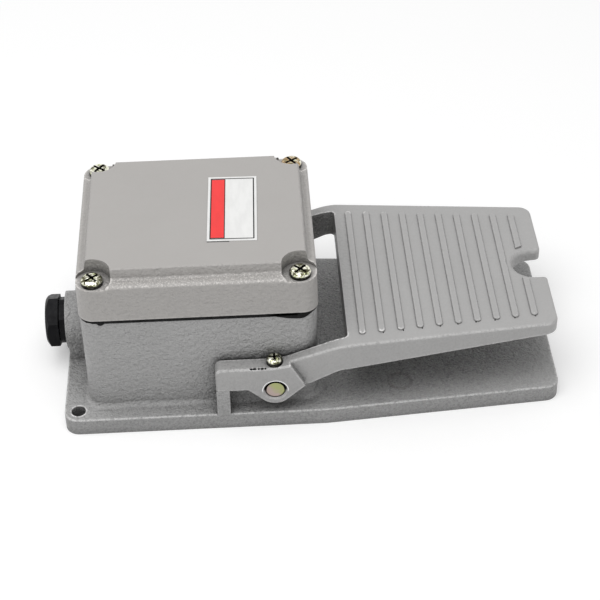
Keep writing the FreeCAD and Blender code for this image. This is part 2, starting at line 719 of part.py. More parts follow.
def build_pedal():
    body = new_body("Pedal")
    tail = f"({LEFT} + tail_inset)"
    tip = f"({LEFT} + tread_end)"
    flank_x = "(hub_radius * sin(hub_flank))"
    flank_z = "(pivot_height - hub_radius * cos(hub_flank))"
    flank_run = f"((tail_bottom - {flank_z}) / tan(hub_flank))"
    arm_foot_run = f"((arm_foot_height - {flank_z}) / tan(hub_flank))"
    hub_corner_run = f"((hub_corner_height - {flank_z}) / tan(hub_flank))"
    arm_rise = f"({PIVOT} + {flank_x} + {arm_foot_run} + arm_foot_length)"
    profile = new_sketch(body, "XZ_Plane")
    add_polygon(profile, [
        (tail, "tail_bottom"),
        (f"{PIVOT} - {flank_x} - {flank_run}", "tail_bottom"),
        (f"{PIVOT} - {flank_x}", flank_z),
        (f"{PIVOT} + {flank_x}", flank_z),
        (f"{PIVOT} + {flank_x} + {arm_foot_run}", "arm_foot_height"),
        (arm_rise, "arm_rise_bottom"),
        (f"{LEFT} + skirt_start", "skirt_start_bottom"),
        (tip, "skirt_end_bottom"),
        (tip, "tread_top"),
        (f"{LEFT} + tail_slope_end", "tread_top"),
        (f"{LEFT} + tail_slope_start", "tail_top"),
        (tail, "tail_top")])
    pad(body, profile, f"2 * {HUB_FACE}", symmetric=True)
    hub = new_sketch(body, "XZ_Plane")
    add_circle(hub, PIVOT, "pivot_height", "hub_radius")
    pad(body, hub, f"2 * {HUB_FACE}", symmetric=True)
    soften_bend(body, "tail_corner", tail, "tail_top")
    soften_bend(body, "arm_bend", f"{LEFT} + tail_slope_start", "tail_top")
    soften_bend(body, "arm_bend", f"{LEFT} + tail_slope_end", "tread_top")
    soften_bend(body, "underside_bend", arm_rise, "arm_rise_bottom")
    soften_bend(body, "underside_bend", f"{LEFT} + skirt_start", "skirt_start_bottom")

    # Between the arms, beside the box: the opening narrows towards the tread.
    opening = new_sketch(body, "XY_Plane")
    root, narrow = f"({LEFT} + tread_start)", f"({ARM_INNER} - arm_splay)"
    splay_start = f"({LEFT} + tail_slope_start)"
    add_polygon(opening, [
        (f"{tail} - cut_past", f"-{ARM_INNER}"), (splay_start, f"-{ARM_INNER}"), (root, f"-{narrow}"),
        (root, narrow), (splay_start, ARM_INNER), (f"{tail} - cut_past", ARM_INNER)])
    pocket(body, opening, "tread_top + cut_past", backwards=True)
    inner_corners = [(value(root), side * value(narrow)) for side in (-1, 1)]
    dress(body, "Fillet", "arm_corner", lambda edge: stands_at(edge, inner_corners))

    # The arms stand back from the hubs' faces, and the tread narrows to its free end.
    for lift, backwards in ((HUB_FACE, False), (f"-{HUB_FACE}", True)):
        relief = new_sketch(body, "XZ_Plane", lift)
        add_polygon(relief, [
            (f"{PIVOT} + hub_crest", "tread_top + cut_past"),
            (f"{PIVOT} + {flank_x} + {hub_corner_run}", "hub_corner_height"),
            (f"{PIVOT} + {flank_x} + {arm_foot_run}", "arm_foot_height"),
            (f"{PIVOT} + {flank_x} + {arm_foot_run}", f"{flank_z} - cut_past"),
            (f"{tip} + cut_past", f"{flank_z} - cut_past"),
            (f"{tip} + cut_past", "tread_top + cut_past")])
        pocket(body, relief, "hub_rise", backwards=backwards)
    for side in ("-1", "1"):
        wedge = new_sketch(body, "XY_Plane")
        add_polygon(wedge, [
            (f"{LEFT} + tread_start", f"{side} * {ARM_SIDE}"),
            (f"{tip} + cut_past", f"{side} * {TREAD_END_SIDE}"),
            (f"{tip} + cut_past", f"{side} * 2 * {HUB_FACE}"),
            (arm_rise, f"{side} * 2 * {HUB_FACE}"), (arm_rise, f"{side} * {ARM_SIDE}")])
        pocket(body, wedge, "tread_top + cut_past", backwards=True)
    tip_x = value(tip)
    dress(body, "Fillet", "tread_corner",
          lambda edge: is_upright(edge) and abs(middle_of(edge).x - tip_x) < 0.05)
    dress_tread_edge(body)

    # Hollow under the tread, with a wall kept round the notch
    under = new_sketch(body, "XY_Plane")
    wall = "tread_skirt_wall"
    start, end = f"({LEFT} + tread_start + {wall})", f"({tip} - {wall})"
    half_start, half_end = f"({ARM_SIDE} - {wall})", f"({TREAD_END_SIDE} - {wall})"
    back = f"({tip} - notch_depth - notch_wall)"
    pillar = "(notch_half_width + notch_wall)"
    add_polygon(under, [
        (start, f"-{half_start}"), (end, f"-{half_end}"), (end, f"-{pillar}"), (back, f"-{pillar}"),
        (back, pillar), (end, pillar), (end, half_end), (start, half_start)])
    pocket(body, under, "tread_top - tread_plate", backwards=True)

    ribs = new_sketch(body, "XY_Plane", "tread_top")
    for number in range(RIB_COUNT):
        place_x = f"({LEFT} + rib_first + {number} * rib_pitch)"
        share = f"(({place_x} - {LEFT} - tread_start) / (tread_end - tread_start))"
        half = f"({ARM_SIDE} - tread_taper * {share} - rib_margin)"
        add_slot(ribs, place_x, half, "rib_width / 2")
    pad(body, ribs, "rib_height")
    rib_top = value("tread_top + rib_height")
    dress(body, "Fillet", "rib_edge", lambda edge: lies_at(edge, rib_top))

    # Notch in the free edge, which clears the front fixing screw, and the ribs' gap round it
    centre = f"({tip} - notch_depth + notch_half_width)"
    around = new_sketch(body, "XY_Plane", "tread_top + rib_height")
    add_circle(around, centre, "0", "notch_half_width + notch_wall")
    pocket(body, around, "rib_height")
    round_end = new_sketch(body, "XY_Plane")
    add_circle(round_end, centre, "0", "notch_half_width")
    pocket(body, round_end, "tread_top + cut_past", backwards=True)
    mouth = new_sketch(body, "XY_Plane")
    add_rectangle(mouth, centre, f"{tip} + cut_past", "-notch_half_width", "notch_half_width")
    pocket(body, mouth, "tread_top + cut_past", backwards=True)
    lips = [(tip_x, side * value("notch_half_width")) for side in (-1, 1)]
    dress(body, "Fillet", "notch_mouth", lambda edge: stands_at(edge, lips))

    # Bore for the shaft with countersunk mouths, and the clamp screws' holes and spot faces
    bore = new_sketch(body, "XZ_Plane")
    add_circle(bore, PIVOT, "pivot_height", "shaft_radius + screw_gap")
    pocket(body, bore, f"2 * {HUB_FACE} + cut_past", symmetric=True)
    outer_face = value(HUB_FACE)
    dress(body, "Chamfer", "hub_mouth", lambda edge: is_mouth(edge, outer_face), "Size")
    taps = new_sketch(body, "XY_Plane", "pivot_height")
    spots = new_sketch(body, "XY_Plane", "tail_top")
    for side in ("-1", "1"):
        add_circle(taps, PIVOT, f"{side} * {CLAMP_SIDE}", "clamp_screw_radius + screw_gap")
        add_circle(spots, PIVOT, f"{side} * {CLAMP_SIDE}", "clamp_head_radius + spot_face_gap")
    pocket(body, taps, "tread_top - pivot_height", backwards=True)
    pocket(body, spots, "tread_top - tail_top", backwards=True)
    keep("pedal", body)


def is_mouth(edge, reach):
    """True for the rim of a bore along Y in one of the faces at the given distance from the middle."""
    box = edge.BoundBox
    round_rim = box.YLength < 1e-4 and abs(box.XLength - box.ZLength) < 0.01
    return round_rim and abs(abs(box.Center.y) - reach) < 0.01 and box.XLength < value("hub_radius * 1.5")


def soften_bend(body, size, across, up, reach=0.05):
    """Round a bend of the side profile, whose edge runs along Y at the given place."""
    x, z = value(across), value(up)

    def chosen(edge):
        box = edge.BoundBox
        straight = box.XLength < 1e-4 and box.ZLength < 1e-4 and box.YLength > 1
        return straight and abs(box.Center.x - x) < reach and abs(box.Center.z - z) < reach

    dress(body, "Fillet", size, chosen)


def dress_tread_edge(body):
    """Round the tread's upper edges along its sides and free end."""
    top = value("tread_top")
    limit = value(f"{LEFT} + tread_start") + 0.1
    dress(body, "Fillet", "pedal_edge",
          lambda edge: lies_at(edge, top) and edge.BoundBox.XMax > limit)


def build_pivot_shaft():
    length = f"(2 * {HUB_FACE} - 2 * shaft_recess)"
    bar = cylinder("shaft_radius", length, PIVOT, f"-{length} / 2", "pivot_height", axis="y")
    doc.recompute()
    size = value("shaft_chamfer")
    rod = doc.addObject("Part::Chamfer", "Chamfer")
    rod.Base = bar
    rod.Edges = [(number, size, size) for number, edge in enumerate(bar.Shape.Edges, start=1)
                 if edge.BoundBox.YLength < 1e-4]
    flats = [box("shaft_radius * 2", "shaft_flat_length", "shaft_radius",
                 (f"{PIVOT} - shaft_radius", f"{y} - shaft_flat_length / 2",
                  "pivot_height + shaft_radius - shaft_flat_depth"))
             for y in (f"-{CLAMP_SIDE}", "0", CLAMP_SIDE)]
    keep("pivot_shaft", cut(rod, fuse(*flats)))


def build_clamp_screws():
    screws = [pan_screw(PIVOT, f"{side} * {CLAMP_SIDE}", "tail_top", "clamp_head_radius", "clamp_head_height",
                        "clamp_screw_radius", "(tail_top - pivot_height - shaft_radius + shaft_flat_depth)")
              for side in ("-1", "1")]
    keep("clamp_screws", group(*screws))


# Shaft bushes and seals in the walls of the box

def build_shaft_bearings():
    low, high = f"({CAVITY_SIDE} + box_wall / 2 - bush_length)", f"({CAVITY_SIDE} + box_wall / 2)"
    middle = f"(({high} + box_width / 2) / 2)"
    for name, side in (("near", "-1"), ("far", "1")):
        start = f"-{high}" if side == "-1" else low
        sleeve = cylinder(f"{BUSH_OUTER} - screw_gap / 2", "bush_length",
                          PIVOT, start, "pivot_height", axis="y")
        hole = cylinder("shaft_radius + running_gap", "bush_length + 2 * cut_past",
                        PIVOT, f"{start} - cut_past", "pivot_height", axis="y")
        keep(f"{name}_shaft_bush", cut(sleeve, hole))
        ring = doc.addObject("Part::Torus", "Torus")
        ring.Placement.Rotation = AXES["y"]
        ring.setExpression("Radius1", bind(f"(shaft_radius + {BUSH_OUTER}) / 2"))
        ring.setExpression("Radius2", bind("seal_ring_section"))
        keep(f"{name}_shaft_seal", place(ring, PIVOT, f"{side} * {middle}", "pivot_height"))


# Cable gland

def gland_round(radius, length, start):
    """A cylinder on the gland's axis, which runs along X."""
    return cylinder(radius, length, start, "0", "gland_height", axis="x")


def build_gland():
    washer_left = f"({GLAND_FACE} - gland_washer_height)"
    flange_left = f"({washer_left} - gland_flange_height)"
    nut_left = f"({flange_left} - gland_nut_gap - gland_nut_length)"
    neck_left = f"({nut_left} + gland_nut_lip)"
    washer = cut(gland_round("gland_flange_flats", "gland_washer_height", washer_left),
                 gland_round("gland_thread_radius + screw_gap", "gland_washer_height + 2 * cut_past",
                             f"{washer_left} - cut_past"))
    keep("gland_washer", washer)

    flange = hexagon_bar("gland_flange_flats", "gland_flange_height", flange_left, "0", "gland_height")
    turned = gland_round("gland_flange_turned", "gland_flange_height", flange_left)
    thread = gland_round("gland_thread_radius", f"{CAVITY_LEFT} - {washer_left}", washer_left)
    neck = gland_round("gland_neck_radius", f"{washer_left} - {neck_left}", neck_left)
    bore = gland_round("gland_bore_radius", f"{CAVITY_LEFT} - {neck_left} + 2 * cut_past",
                       f"{neck_left} - cut_past")
    keep("gland_body", cut(fuse(common(flange, turned), thread, neck), bore))

    nut = hexagon_bar("gland_nut_flats", "gland_nut_length", nut_left, "0", "gland_height")
    cone = doc.addObject("Part::Cone", "Cone")
    cone.Placement.Rotation = AXES["x"]
    cone.setExpression("Radius1", bind("gland_nut_face"))
    cone.setExpression("Radius2", bind("gland_nut_face + gland_nut_length / tan(gland_nut_chamfer)"))
    cone.setExpression("Height", bind("gland_nut_length"))
    place(cone, nut_left, "0", "gland_height")
    inside = gland_round("gland_neck_radius + screw_gap", "gland_nut_length", neck_left)
    mouth = gland_round("gland_mouth_radius", "gland_nut_length + cut_past", f"{nut_left} - cut_past")
    keep("gland_nut", cut(common(nut, cone), fuse(inside, mouth)))

    ring = cut(gland_round("gland_bore_radius - screw_gap", "gland_seal_length", neck_left),
               gland_round("gland_seal_radius", "gland_seal_length + 2 * cut_past",
                           f"{neck_left} - cut_past"))
    keep("gland_seal", ring)


# Contact mechanism: lever on the shaft, push rod, spring, bridge and contact block

def build_shaft_lever():
    turn = FreeCAD.Rotation(FreeCAD.Vector(0, 1, 0), -value("lever_droop"))
    arm = box("lever_reach", "lever_width", "lever_arm_height", ("0", "0", "0"))
    arm.Placement.Rotation = turn
    place(arm, f"{ROD_X} + lever_arm_height / 2 * sin(lever_droop)", "-lever_width / 2",
          f"{NOSE_Z} - lever_arm_height / 2 * cos(lever_droop)")
    nose = cylinder("lever_nose", "lever_width", ROD_X, "-lever_width / 2", NOSE_Z, axis="y")
    hub = cylinder("lever_hub_radius", "lever_hub_width",
                   PIVOT, "-lever_hub_width / 2", "pivot_height", axis="y")
    bore = cylinder("shaft_radius + screw_gap", "lever_hub_width + 2 * cut_past", PIVOT,
                    "-lever_hub_width / 2 - cut_past", "pivot_height", axis="y")
    tap = cylinder("small_screw_radius + screw_gap", "lever_hub_radius + cut_past",
                   PIVOT, "0", "pivot_height")
    keep("shaft_lever", cut(fuse(arm, nose, hub), fuse(bore, tap)))
    tip = "(pivot_height + shaft_radius - shaft_flat_depth)"
    keep("lever_screw", set_screw(PIVOT, "0", tip, "small_screw_radius", "lever_hub_radius - shaft_radius"))


def build_push_rod():
    head = cylinder("rod_head_radius", "rod_head_height", ROD_X, "0", ROD_BOTTOM)
    stem = cylinder("rod_radius", f"{BRIDGE_BOTTOM} - {ROD_BOTTOM}", ROD_X, "0", ROD_BOTTOM)
    tip = cylinder("rod_tip_radius", f"3 * strip_sheet + {BRIDGE_BOTTOM} - {ROD_BOTTOM}",
                   ROD_X, "0", ROD_BOTTOM)
    keep("push_rod", fuse(round_rims(head, "rod_head_round", ROD_BOTTOM), stem, tip))

    strip = box("bridge_half * 2", "strip_width", "strip_sheet",
                (f"{ROD_X} - bridge_half", "-strip_width / 2", BRIDGE_BOTTOM))
    tips = [cylinder("contact_tip_radius", "contact_tip * 2 + strip_sheet",
                     f"{ROD_X} + {side} * (bridge_half - contact_inset)", "0",
                     f"{BRIDGE_BOTTOM} - contact_tip")
            for side in ("-1", "1")]
    hole = cylinder("rod_tip_radius + screw_gap", "strip_sheet * 3",
                    ROD_X, "0", f"{BRIDGE_BOTTOM} - strip_sheet")
    keep("moving_bridge", cut(fuse(strip, *tips), hole))
    nut = cut(cylinder("rod_tip_radius * 2", "bridge_nut_height",
                       ROD_X, "0", f"{BRIDGE_BOTTOM} + strip_sheet"),
              cylinder("rod_tip_radius + screw_gap / 2", "bridge_nut_height + 2 * strip_sheet",
                       ROD_X, "0", BRIDGE_BOTTOM))
    keep("bridge_nut", nut)


def build_return_spring():
    """A coil between the push rod's collar and the bracket, set clear of both."""
    gap = value("spring_seat_gap")
    wire = value("spring_wire")
    height = value("spring_height") - 2 * gap - 2 * wire
    radius = value("spring_radius")
    helix = Part.makeHelix(height / value("spring_turns"), height, radius)
    circle = Part.Circle(FreeCAD.Vector(radius, 0, 0), FreeCAD.Vector(0, 1, 0), wire)
    coil = Part.Wire(helix).makePipeShell([Part.Wire(circle.toShape())], True, True)
    spring = doc.addObject("Part::Feature", "ReturnSpring")
    spring.Shape = coil
    spring.Placement.Base = FreeCAD.Vector(value(ROD_X), 0, value(COLLAR_TOP) + gap + wire)
    keep("return_spring", spring)


def build_switch_bracket():
    body = new_body("SwitchBracket")
    span, sheet_high = "bracket_half_span", "bracket_sheet"
    outer = f"({span} + bracket_foot)"
    profile = new_sketch(body, "YZ_Plane", f"{ROD_X} - bracket_width / 2")
    add_polygon(profile, [
        (f"-{outer}", "box_floor"), (f"{sheet_high} - {span}", "box_floor"),
        (f"{sheet_high} - {span}", BRACKET_UNDER), (f"{span} - {sheet_high}", BRACKET_UNDER),
        (f"{span} - {sheet_high}", "box_floor"), (outer, "box_floor"),
        (outer, f"box_floor + {sheet_high}"), (span, f"box_floor + {sheet_high}"),
        (span, BLOCK_BOTTOM), (f"-{span}", BLOCK_BOTTOM),
        (f"-{span}", f"box_floor + {sheet_high}"), (f"-{outer}", f"box_floor + {sheet_high}")])
    pad(body, profile, "bracket_width")
    holes = new_sketch(body, "XY_Plane", "box_floor")
    for x, y in bracket_screw_places():
        add_circle(holes, x, y, "small_screw_radius + clearance_hole")
    pocket(body, holes, f"{sheet_high} + cut_past", backwards=True)
    top_holes = new_sketch(body, "XY_Plane", BRACKET_UNDER)
    add_circle(top_holes, ROD_X, "0", "rod_radius + clearance_hole")
    for side in ("-1", "1"):
        add_circle(top_holes, ROD_X, f"{side} * {BLOCK_SCREW_SIDE}", "block_screw_radius + screw_gap")
    pocket(body, top_holes, f"{sheet_high} + cut_past", backwards=True)
    keep("switch_bracket", body)
    keep("bracket_screws", group(*[
        pan_screw(x, y, f"(box_floor + {sheet_high})", "small_head_radius", "small_head_height",
                  "small_screw_radius", f"(floor_screw + {sheet_high})")
        for x, y in bracket_screw_places()]))


def build_contact_block():
    """A moulded block in steps, so that each pair of terminals can be reached from above."""
    half = "(block_width / 2)"
    tiers = [box(f"{reach} * 2", "block_width", f"{top} - {BLOCK_BOTTOM}",
                 (f"{ROD_X} - {reach}", f"-{half}", BLOCK_BOTTOM))
             for reach, top in (("low_tier_half", LOW_TIER_TOP), ("high_tier_half", HIGH_TIER_TOP),
                                ("block_cap_half", f"({HIGH_TIER_TOP} + block_cap_height)"))]
    ears = box("block_ear", "bracket_half_span * 2", "block_wall",
               (f"{ROD_X} - block_ear / 2", "-bracket_half_span", BLOCK_BOTTOM))
    chamber = box("chamber_half * 2", "block_width - block_wall",
                  f"{HIGH_TIER_TOP} + block_cap_height - block_wall - {BLOCK_BOTTOM} - block_wall",
                  (f"{ROD_X} - chamber_half", f"-{half} - cut_past", f"{BLOCK_BOTTOM} + block_wall"))
    guide = cylinder("rod_radius + clearance_hole", "block_wall * 2",
                     ROD_X, "0", f"{BLOCK_BOTTOM} - block_wall / 2")
    slots = []
    taps = []
    for level, reach in ((LOW_TIER_TOP, "low_tier_half"), (HIGH_TIER_TOP, "high_tier_half")):
        slots.append(box(f"{reach} * 2 + 2 * cut_past", "strip_width + 2 * screw_gap",
                         "strip_sheet + screw_gap",
                         (f"{ROD_X} - {reach} - cut_past", "-strip_width / 2 - screw_gap", level)))
        for side in ("-1", "1"):
            taps.append(cylinder("terminal_radius + screw_gap", "terminal_tap",
                                 f"{ROD_X} + {side} * ({reach} - terminal_head - terminal_edge)", "0",
                                 f"{level} - terminal_tap"))
    for side in ("-1", "1"):
        taps.append(cylinder("block_screw_radius + clearance_hole", "block_wall * 2", ROD_X,
                             f"{side} * {BLOCK_SCREW_SIDE}", f"{BLOCK_BOTTOM} - block_wall / 2"))
    keep("contact_housing", cut(fuse(ears, *tiers), fuse(chamber, guide, *slots, *taps)))
    keep("block_screws", group(*[
        pan_screw(ROD_X, f"{side} * {BLOCK_SCREW_SIDE}", f"({BLOCK_BOTTOM} + block_wall)",
                  "block_head_radius", "small_head_height", "block_screw_radius",
                  "(block_wall + bracket_sheet)")
        for side in ("-1", "1")]))

    screws = []
    for node, level, reach, tip_low in (
            ("closed_contacts", LOW_TIER_TOP, "low_tier_half", f"({LOW_TIER_TOP} + strip_sheet / 2)"),
            ("open_contacts", HIGH_TIER_TOP, "high_tier_half", f"({HIGH_TIER_TOP} - contact_tip)")):
        strips = []
        for side in ("-1", "1"):
            middle = f"({ROD_X} + {side} * ({reach} - terminal_edge + strip_inner) / 2)"
            length = f"({reach} - terminal_edge - strip_inner)"
            strip = box(length, "strip_width", "strip_sheet",
                        (f"{middle} - {length} / 2", "-strip_width / 2", level))
            tip = cylinder("contact_tip_radius", "contact_tip + strip_sheet / 2",
                           f"{ROD_X} + {side} * (bridge_half - contact_inset)", "0", tip_low)
            screw_x = f"({ROD_X} + {side} * ({reach} - terminal_head - terminal_edge))"
            hole = cylinder("terminal_radius + screw_gap", "strip_sheet * 3",
                            screw_x, "0", f"{level} - strip_sheet")
            strips.append(cut(fuse(strip, tip), hole))
            screws.append(pan_screw(screw_x, "0", f"({level} + strip_sheet)", "terminal_head",
                                    "terminal_head_height", "terminal_radius",
                                    "(terminal_reach + strip_sheet)"))
        keep(node, group(*strips))
    keep("terminal_screws", group(*screws))


def build_small_pieces():
    keep("cover_screws", group(*[
        pan_screw(x, y, NOTCH_FLOOR, "cover_head_radius", "cover_head_height", "cover_screw_radius",
                  f"({NOTCH_FLOOR} - box_top + cover_screw_grip)", turn)
        for (x, y), turn in zip(cover_screw_places(), COVER_SCREW_TURNS)]))
    keep("earth_screw", pan_screw(f"({LEFT} + earth_screw_x)", "-earth_screw_y", "box_floor",
                                  "small_head_radius", "small_head_height", "small_screw_radius",
                                  "floor_screw"))
    plate = box("label_width", "label_length", "label_sheet", ("0", "0", "0"))
    plate.Placement.Rotation = FreeCAD.Rotation(FreeCAD.Vector(0, 0, 1), -value("label_turn"))
    swing_x = "(label_width / 2 * cos(label_turn) + label_length / 2 * sin(label_turn))"
    swing_y = "(label_length / 2 * cos(label_turn) - label_width / 2 * sin(label_turn))"
    place(plate, f"{LEFT} + label_inset - {swing_x}", f"-{swing_y}", COVER_TOP)
    keep("label_plate", plate)


def check_model():
    """Stop before anything is written if an object failed or a sub-part isn't sound."""
    doc.recompute()
    for thing in doc.Objects:
        if "Invalid" in thing.State or "Error" in thing.State:
            raise RuntimeError(f"{thing.Name} ({thing.Label}) failed: {thing.State}")
    for node, thing in parts.items():
        shape = thing.Shape
        if shape.isNull() or not shape.isValid() or not shape.Solids:
            raise RuntimeError(f"{node} has no sound solid")


build_base_housing()
build_cover()
build_cover_gasket()
build_pedal()
build_pivot_shaft()
build_clamp_screws()
build_shaft_bearings()
build_gland()
build_shaft_lever()
build_push_rod()
build_return_spring()
build_switch_bracket()
build_contact_block()
build_small_pieces()
check_model()

os.makedirs("parts", exist_ok=True)
for node, thing in parts.items():
    thing.Shape.exportStep(f"parts/{node}.step")
    box_size = thing.Shape.BoundBox
    print(f"{node:18s} solids {len(thing.Shape.Solids)}  volume {thing.Shape.Volume:10.1f}  "
          f"x {box_size.XMin:7.2f} {box_size.XMax:7.2f}  y {box_size.YMin:7.2f} {box_size.YMax:7.2f}  "
          f"z {box_size.ZMin:6.2f} {box_size.ZMax:6.2f}")
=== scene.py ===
# The looks of an industrial foot switch: a cast housing under a screwed-down cover, and a hinged pedal.
# Lengths are in metres, in the part's own frame: X along the base towards the pedal's tip, Y across it,
# and Z up from the face that it stands on.
import math

import bmesh
import bpy
from mathutils import Matrix, Vector


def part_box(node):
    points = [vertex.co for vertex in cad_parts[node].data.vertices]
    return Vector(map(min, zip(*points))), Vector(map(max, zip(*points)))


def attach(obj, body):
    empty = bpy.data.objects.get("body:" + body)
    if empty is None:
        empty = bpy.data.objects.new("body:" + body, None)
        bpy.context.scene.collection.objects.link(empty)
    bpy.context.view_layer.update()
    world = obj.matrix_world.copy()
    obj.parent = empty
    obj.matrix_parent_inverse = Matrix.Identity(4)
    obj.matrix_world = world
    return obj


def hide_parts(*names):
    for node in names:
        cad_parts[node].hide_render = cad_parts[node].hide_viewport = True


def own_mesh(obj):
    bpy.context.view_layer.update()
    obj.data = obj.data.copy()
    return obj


MM = 0.001

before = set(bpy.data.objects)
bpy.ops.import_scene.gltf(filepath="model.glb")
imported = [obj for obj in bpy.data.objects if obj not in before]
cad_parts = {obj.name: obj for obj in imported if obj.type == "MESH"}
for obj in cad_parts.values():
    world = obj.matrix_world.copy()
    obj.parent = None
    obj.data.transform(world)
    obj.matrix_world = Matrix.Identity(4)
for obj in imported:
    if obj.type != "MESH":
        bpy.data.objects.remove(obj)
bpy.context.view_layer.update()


# Camera and studio. The camera's angles are in degrees.

VIEW_AZIMUTH = -2.26
VIEW_ELEVATION = 40.0
VIEW_ROLL = -1.09
VIEW_DISTANCE = 0.81731
VIEW_TARGET = Vector((-0.00377, 0.0, 0.02912))
LENS_MM = 98.30
SENSOR_MM = 36.0
CLIP_START = 0.01
CLIP_END = 50.0


def make_camera():
    """The camera stands where the photograph was taken from, a little turned about its own axis."""
    azimuth, elevation, roll = (math.radians(a) for a in (VIEW_AZIMUTH, VIEW_ELEVATION, VIEW_ROLL))
    back = Vector((math.sin(azimuth) * math.cos(elevation), -math.cos(azimuth) * math.cos(elevation),
                   math.sin(elevation)))
    level = (-back).cross(Vector((0, 0, 1))).normalized()
    upright = level.cross(-back)
    right = level * math.cos(roll) + upright * math.sin(roll)
    up = upright * math.cos(roll) - level * math.sin(roll)
    data = bpy.data.cameras.new("camera")
    data.lens = LENS_MM
    data.sensor_width = SENSOR_MM
    data.clip_start = CLIP_START
    data.clip_end = CLIP_END
    camera = bpy.data.objects.new("camera", data)
    bpy.context.scene.collection.objects.link(camera)
    turn = Matrix((right, up, back)).transposed().to_4x4()
    camera.matrix_world = Matrix.Translation(VIEW_TARGET + back * VIEW_DISTANCE) @ turn
    bpy.context.scene.camera = camera


SKY_LEVEL = 0.50
TOP_LAMP_WATTS = 14.6
TOP_LAMP_SIZE = 1.3
TOP_LAMP_PLACE = Vector((-0.25, -0.38, 1.45))
WHITE = (1, 1, 1, 1)
FLOOR_HALF_SIZE = 4.0
FLOOR_COLOUR = (0.82, 0.82, 0.82, 1)
FLOOR_ROUGHNESS = 0.9
FLOOR_GLOW = 0.24


def make_world():
    """An even pale sky. Seen directly or in a reflection it is plain white."""
    world = bpy.data.worlds.new("sky")
    bpy.context.scene.world = world
    world.use_nodes = True
    nodes, links = world.node_tree.nodes, world.node_tree.links
    sky = nodes["Background"]
    path = nodes.new("ShaderNodeLightPath")
    seen = nodes.new("ShaderNodeMath")
    seen.operation = "MAXIMUM"
    links.new(path.outputs["Is Camera Ray"], seen.inputs[0])
    links.new(path.outputs["Is Glossy Ray"], seen.inputs[1])
    strength = nodes.new("ShaderNodeMapRange")
    strength.inputs["To Min"].default_value = SKY_LEVEL
    strength.inputs["To Max"].default_value = 1.0
    links.new(seen.outputs[0], strength.inputs["Value"])
    sky.inputs["Color"].default_value = WHITE
    links.new(strength.outputs["Result"], sky.inputs["Strength"])


def make_lamp(name, place, aim, size, watts):
    """A square soft lamp that looks from its place at its aim."""
    data = bpy.data.lights.new(name, "AREA")
    data.size = size
    data.energy = watts
    lamp = bpy.data.objects.new(name, data)
    bpy.context.scene.collection.objects.link(lamp)
    turn = (aim - place).to_track_quat("-Z", "Y").to_matrix().to_4x4()
    lamp.matrix_world = Matrix.Translation(place) @ turn


def make_floor():
    """A pale dull floor. It glows a little where it is seen, so it comes out white and keeps the shadow."""
    mesh = bpy.data.meshes.new("floor")
    s = FLOOR_HALF_SIZE
    mesh.from_pydata([(-s, -s, 0), (s, -s, 0), (s, s, 0), (-s, s, 0)], [], [(0, 1, 2, 3)])
    floor = bpy.data.objects.new("floor", mesh)
    bpy.context.scene.collection.objects.link(floor)
    surface = Surface("floor_white", FLOOR_ROUGHNESS)
    surface.shader.inputs["Base Color"].default_value = FLOOR_COLOUR
    surface.shader.inputs["Specular IOR Level"].default_value = 0.0
    surface.shader.inputs["Emission Color"].default_value = WHITE
    path = surface.nodes.new("ShaderNodeLightPath")
    seen = surface.compute("MAXIMUM", path.outputs["Is Camera Ray"], path.outputs["Is Glossy Ray"])
    surface.put(surface.times(seen, FLOOR_GLOW), surface.shader.inputs["Emission Strength"])
    floor.data.materials.append(surface.material)


# Materials

# How many rays look for walls from a place, and how much of them a sharp edge and an open face let through.
PROBES = 8
EDGE_SHARP, EDGE_OPEN = 0.70, 0.95

# The values between which most noise lies, and a narrower span for clearer spots.
NOISE_SPAN = (0.3, 0.7)
FLOW_SPAN = (0.35, 0.65)

# The depth of the fine marks in metal and plastic.
FINE_DEPTH = 0.03 * MM


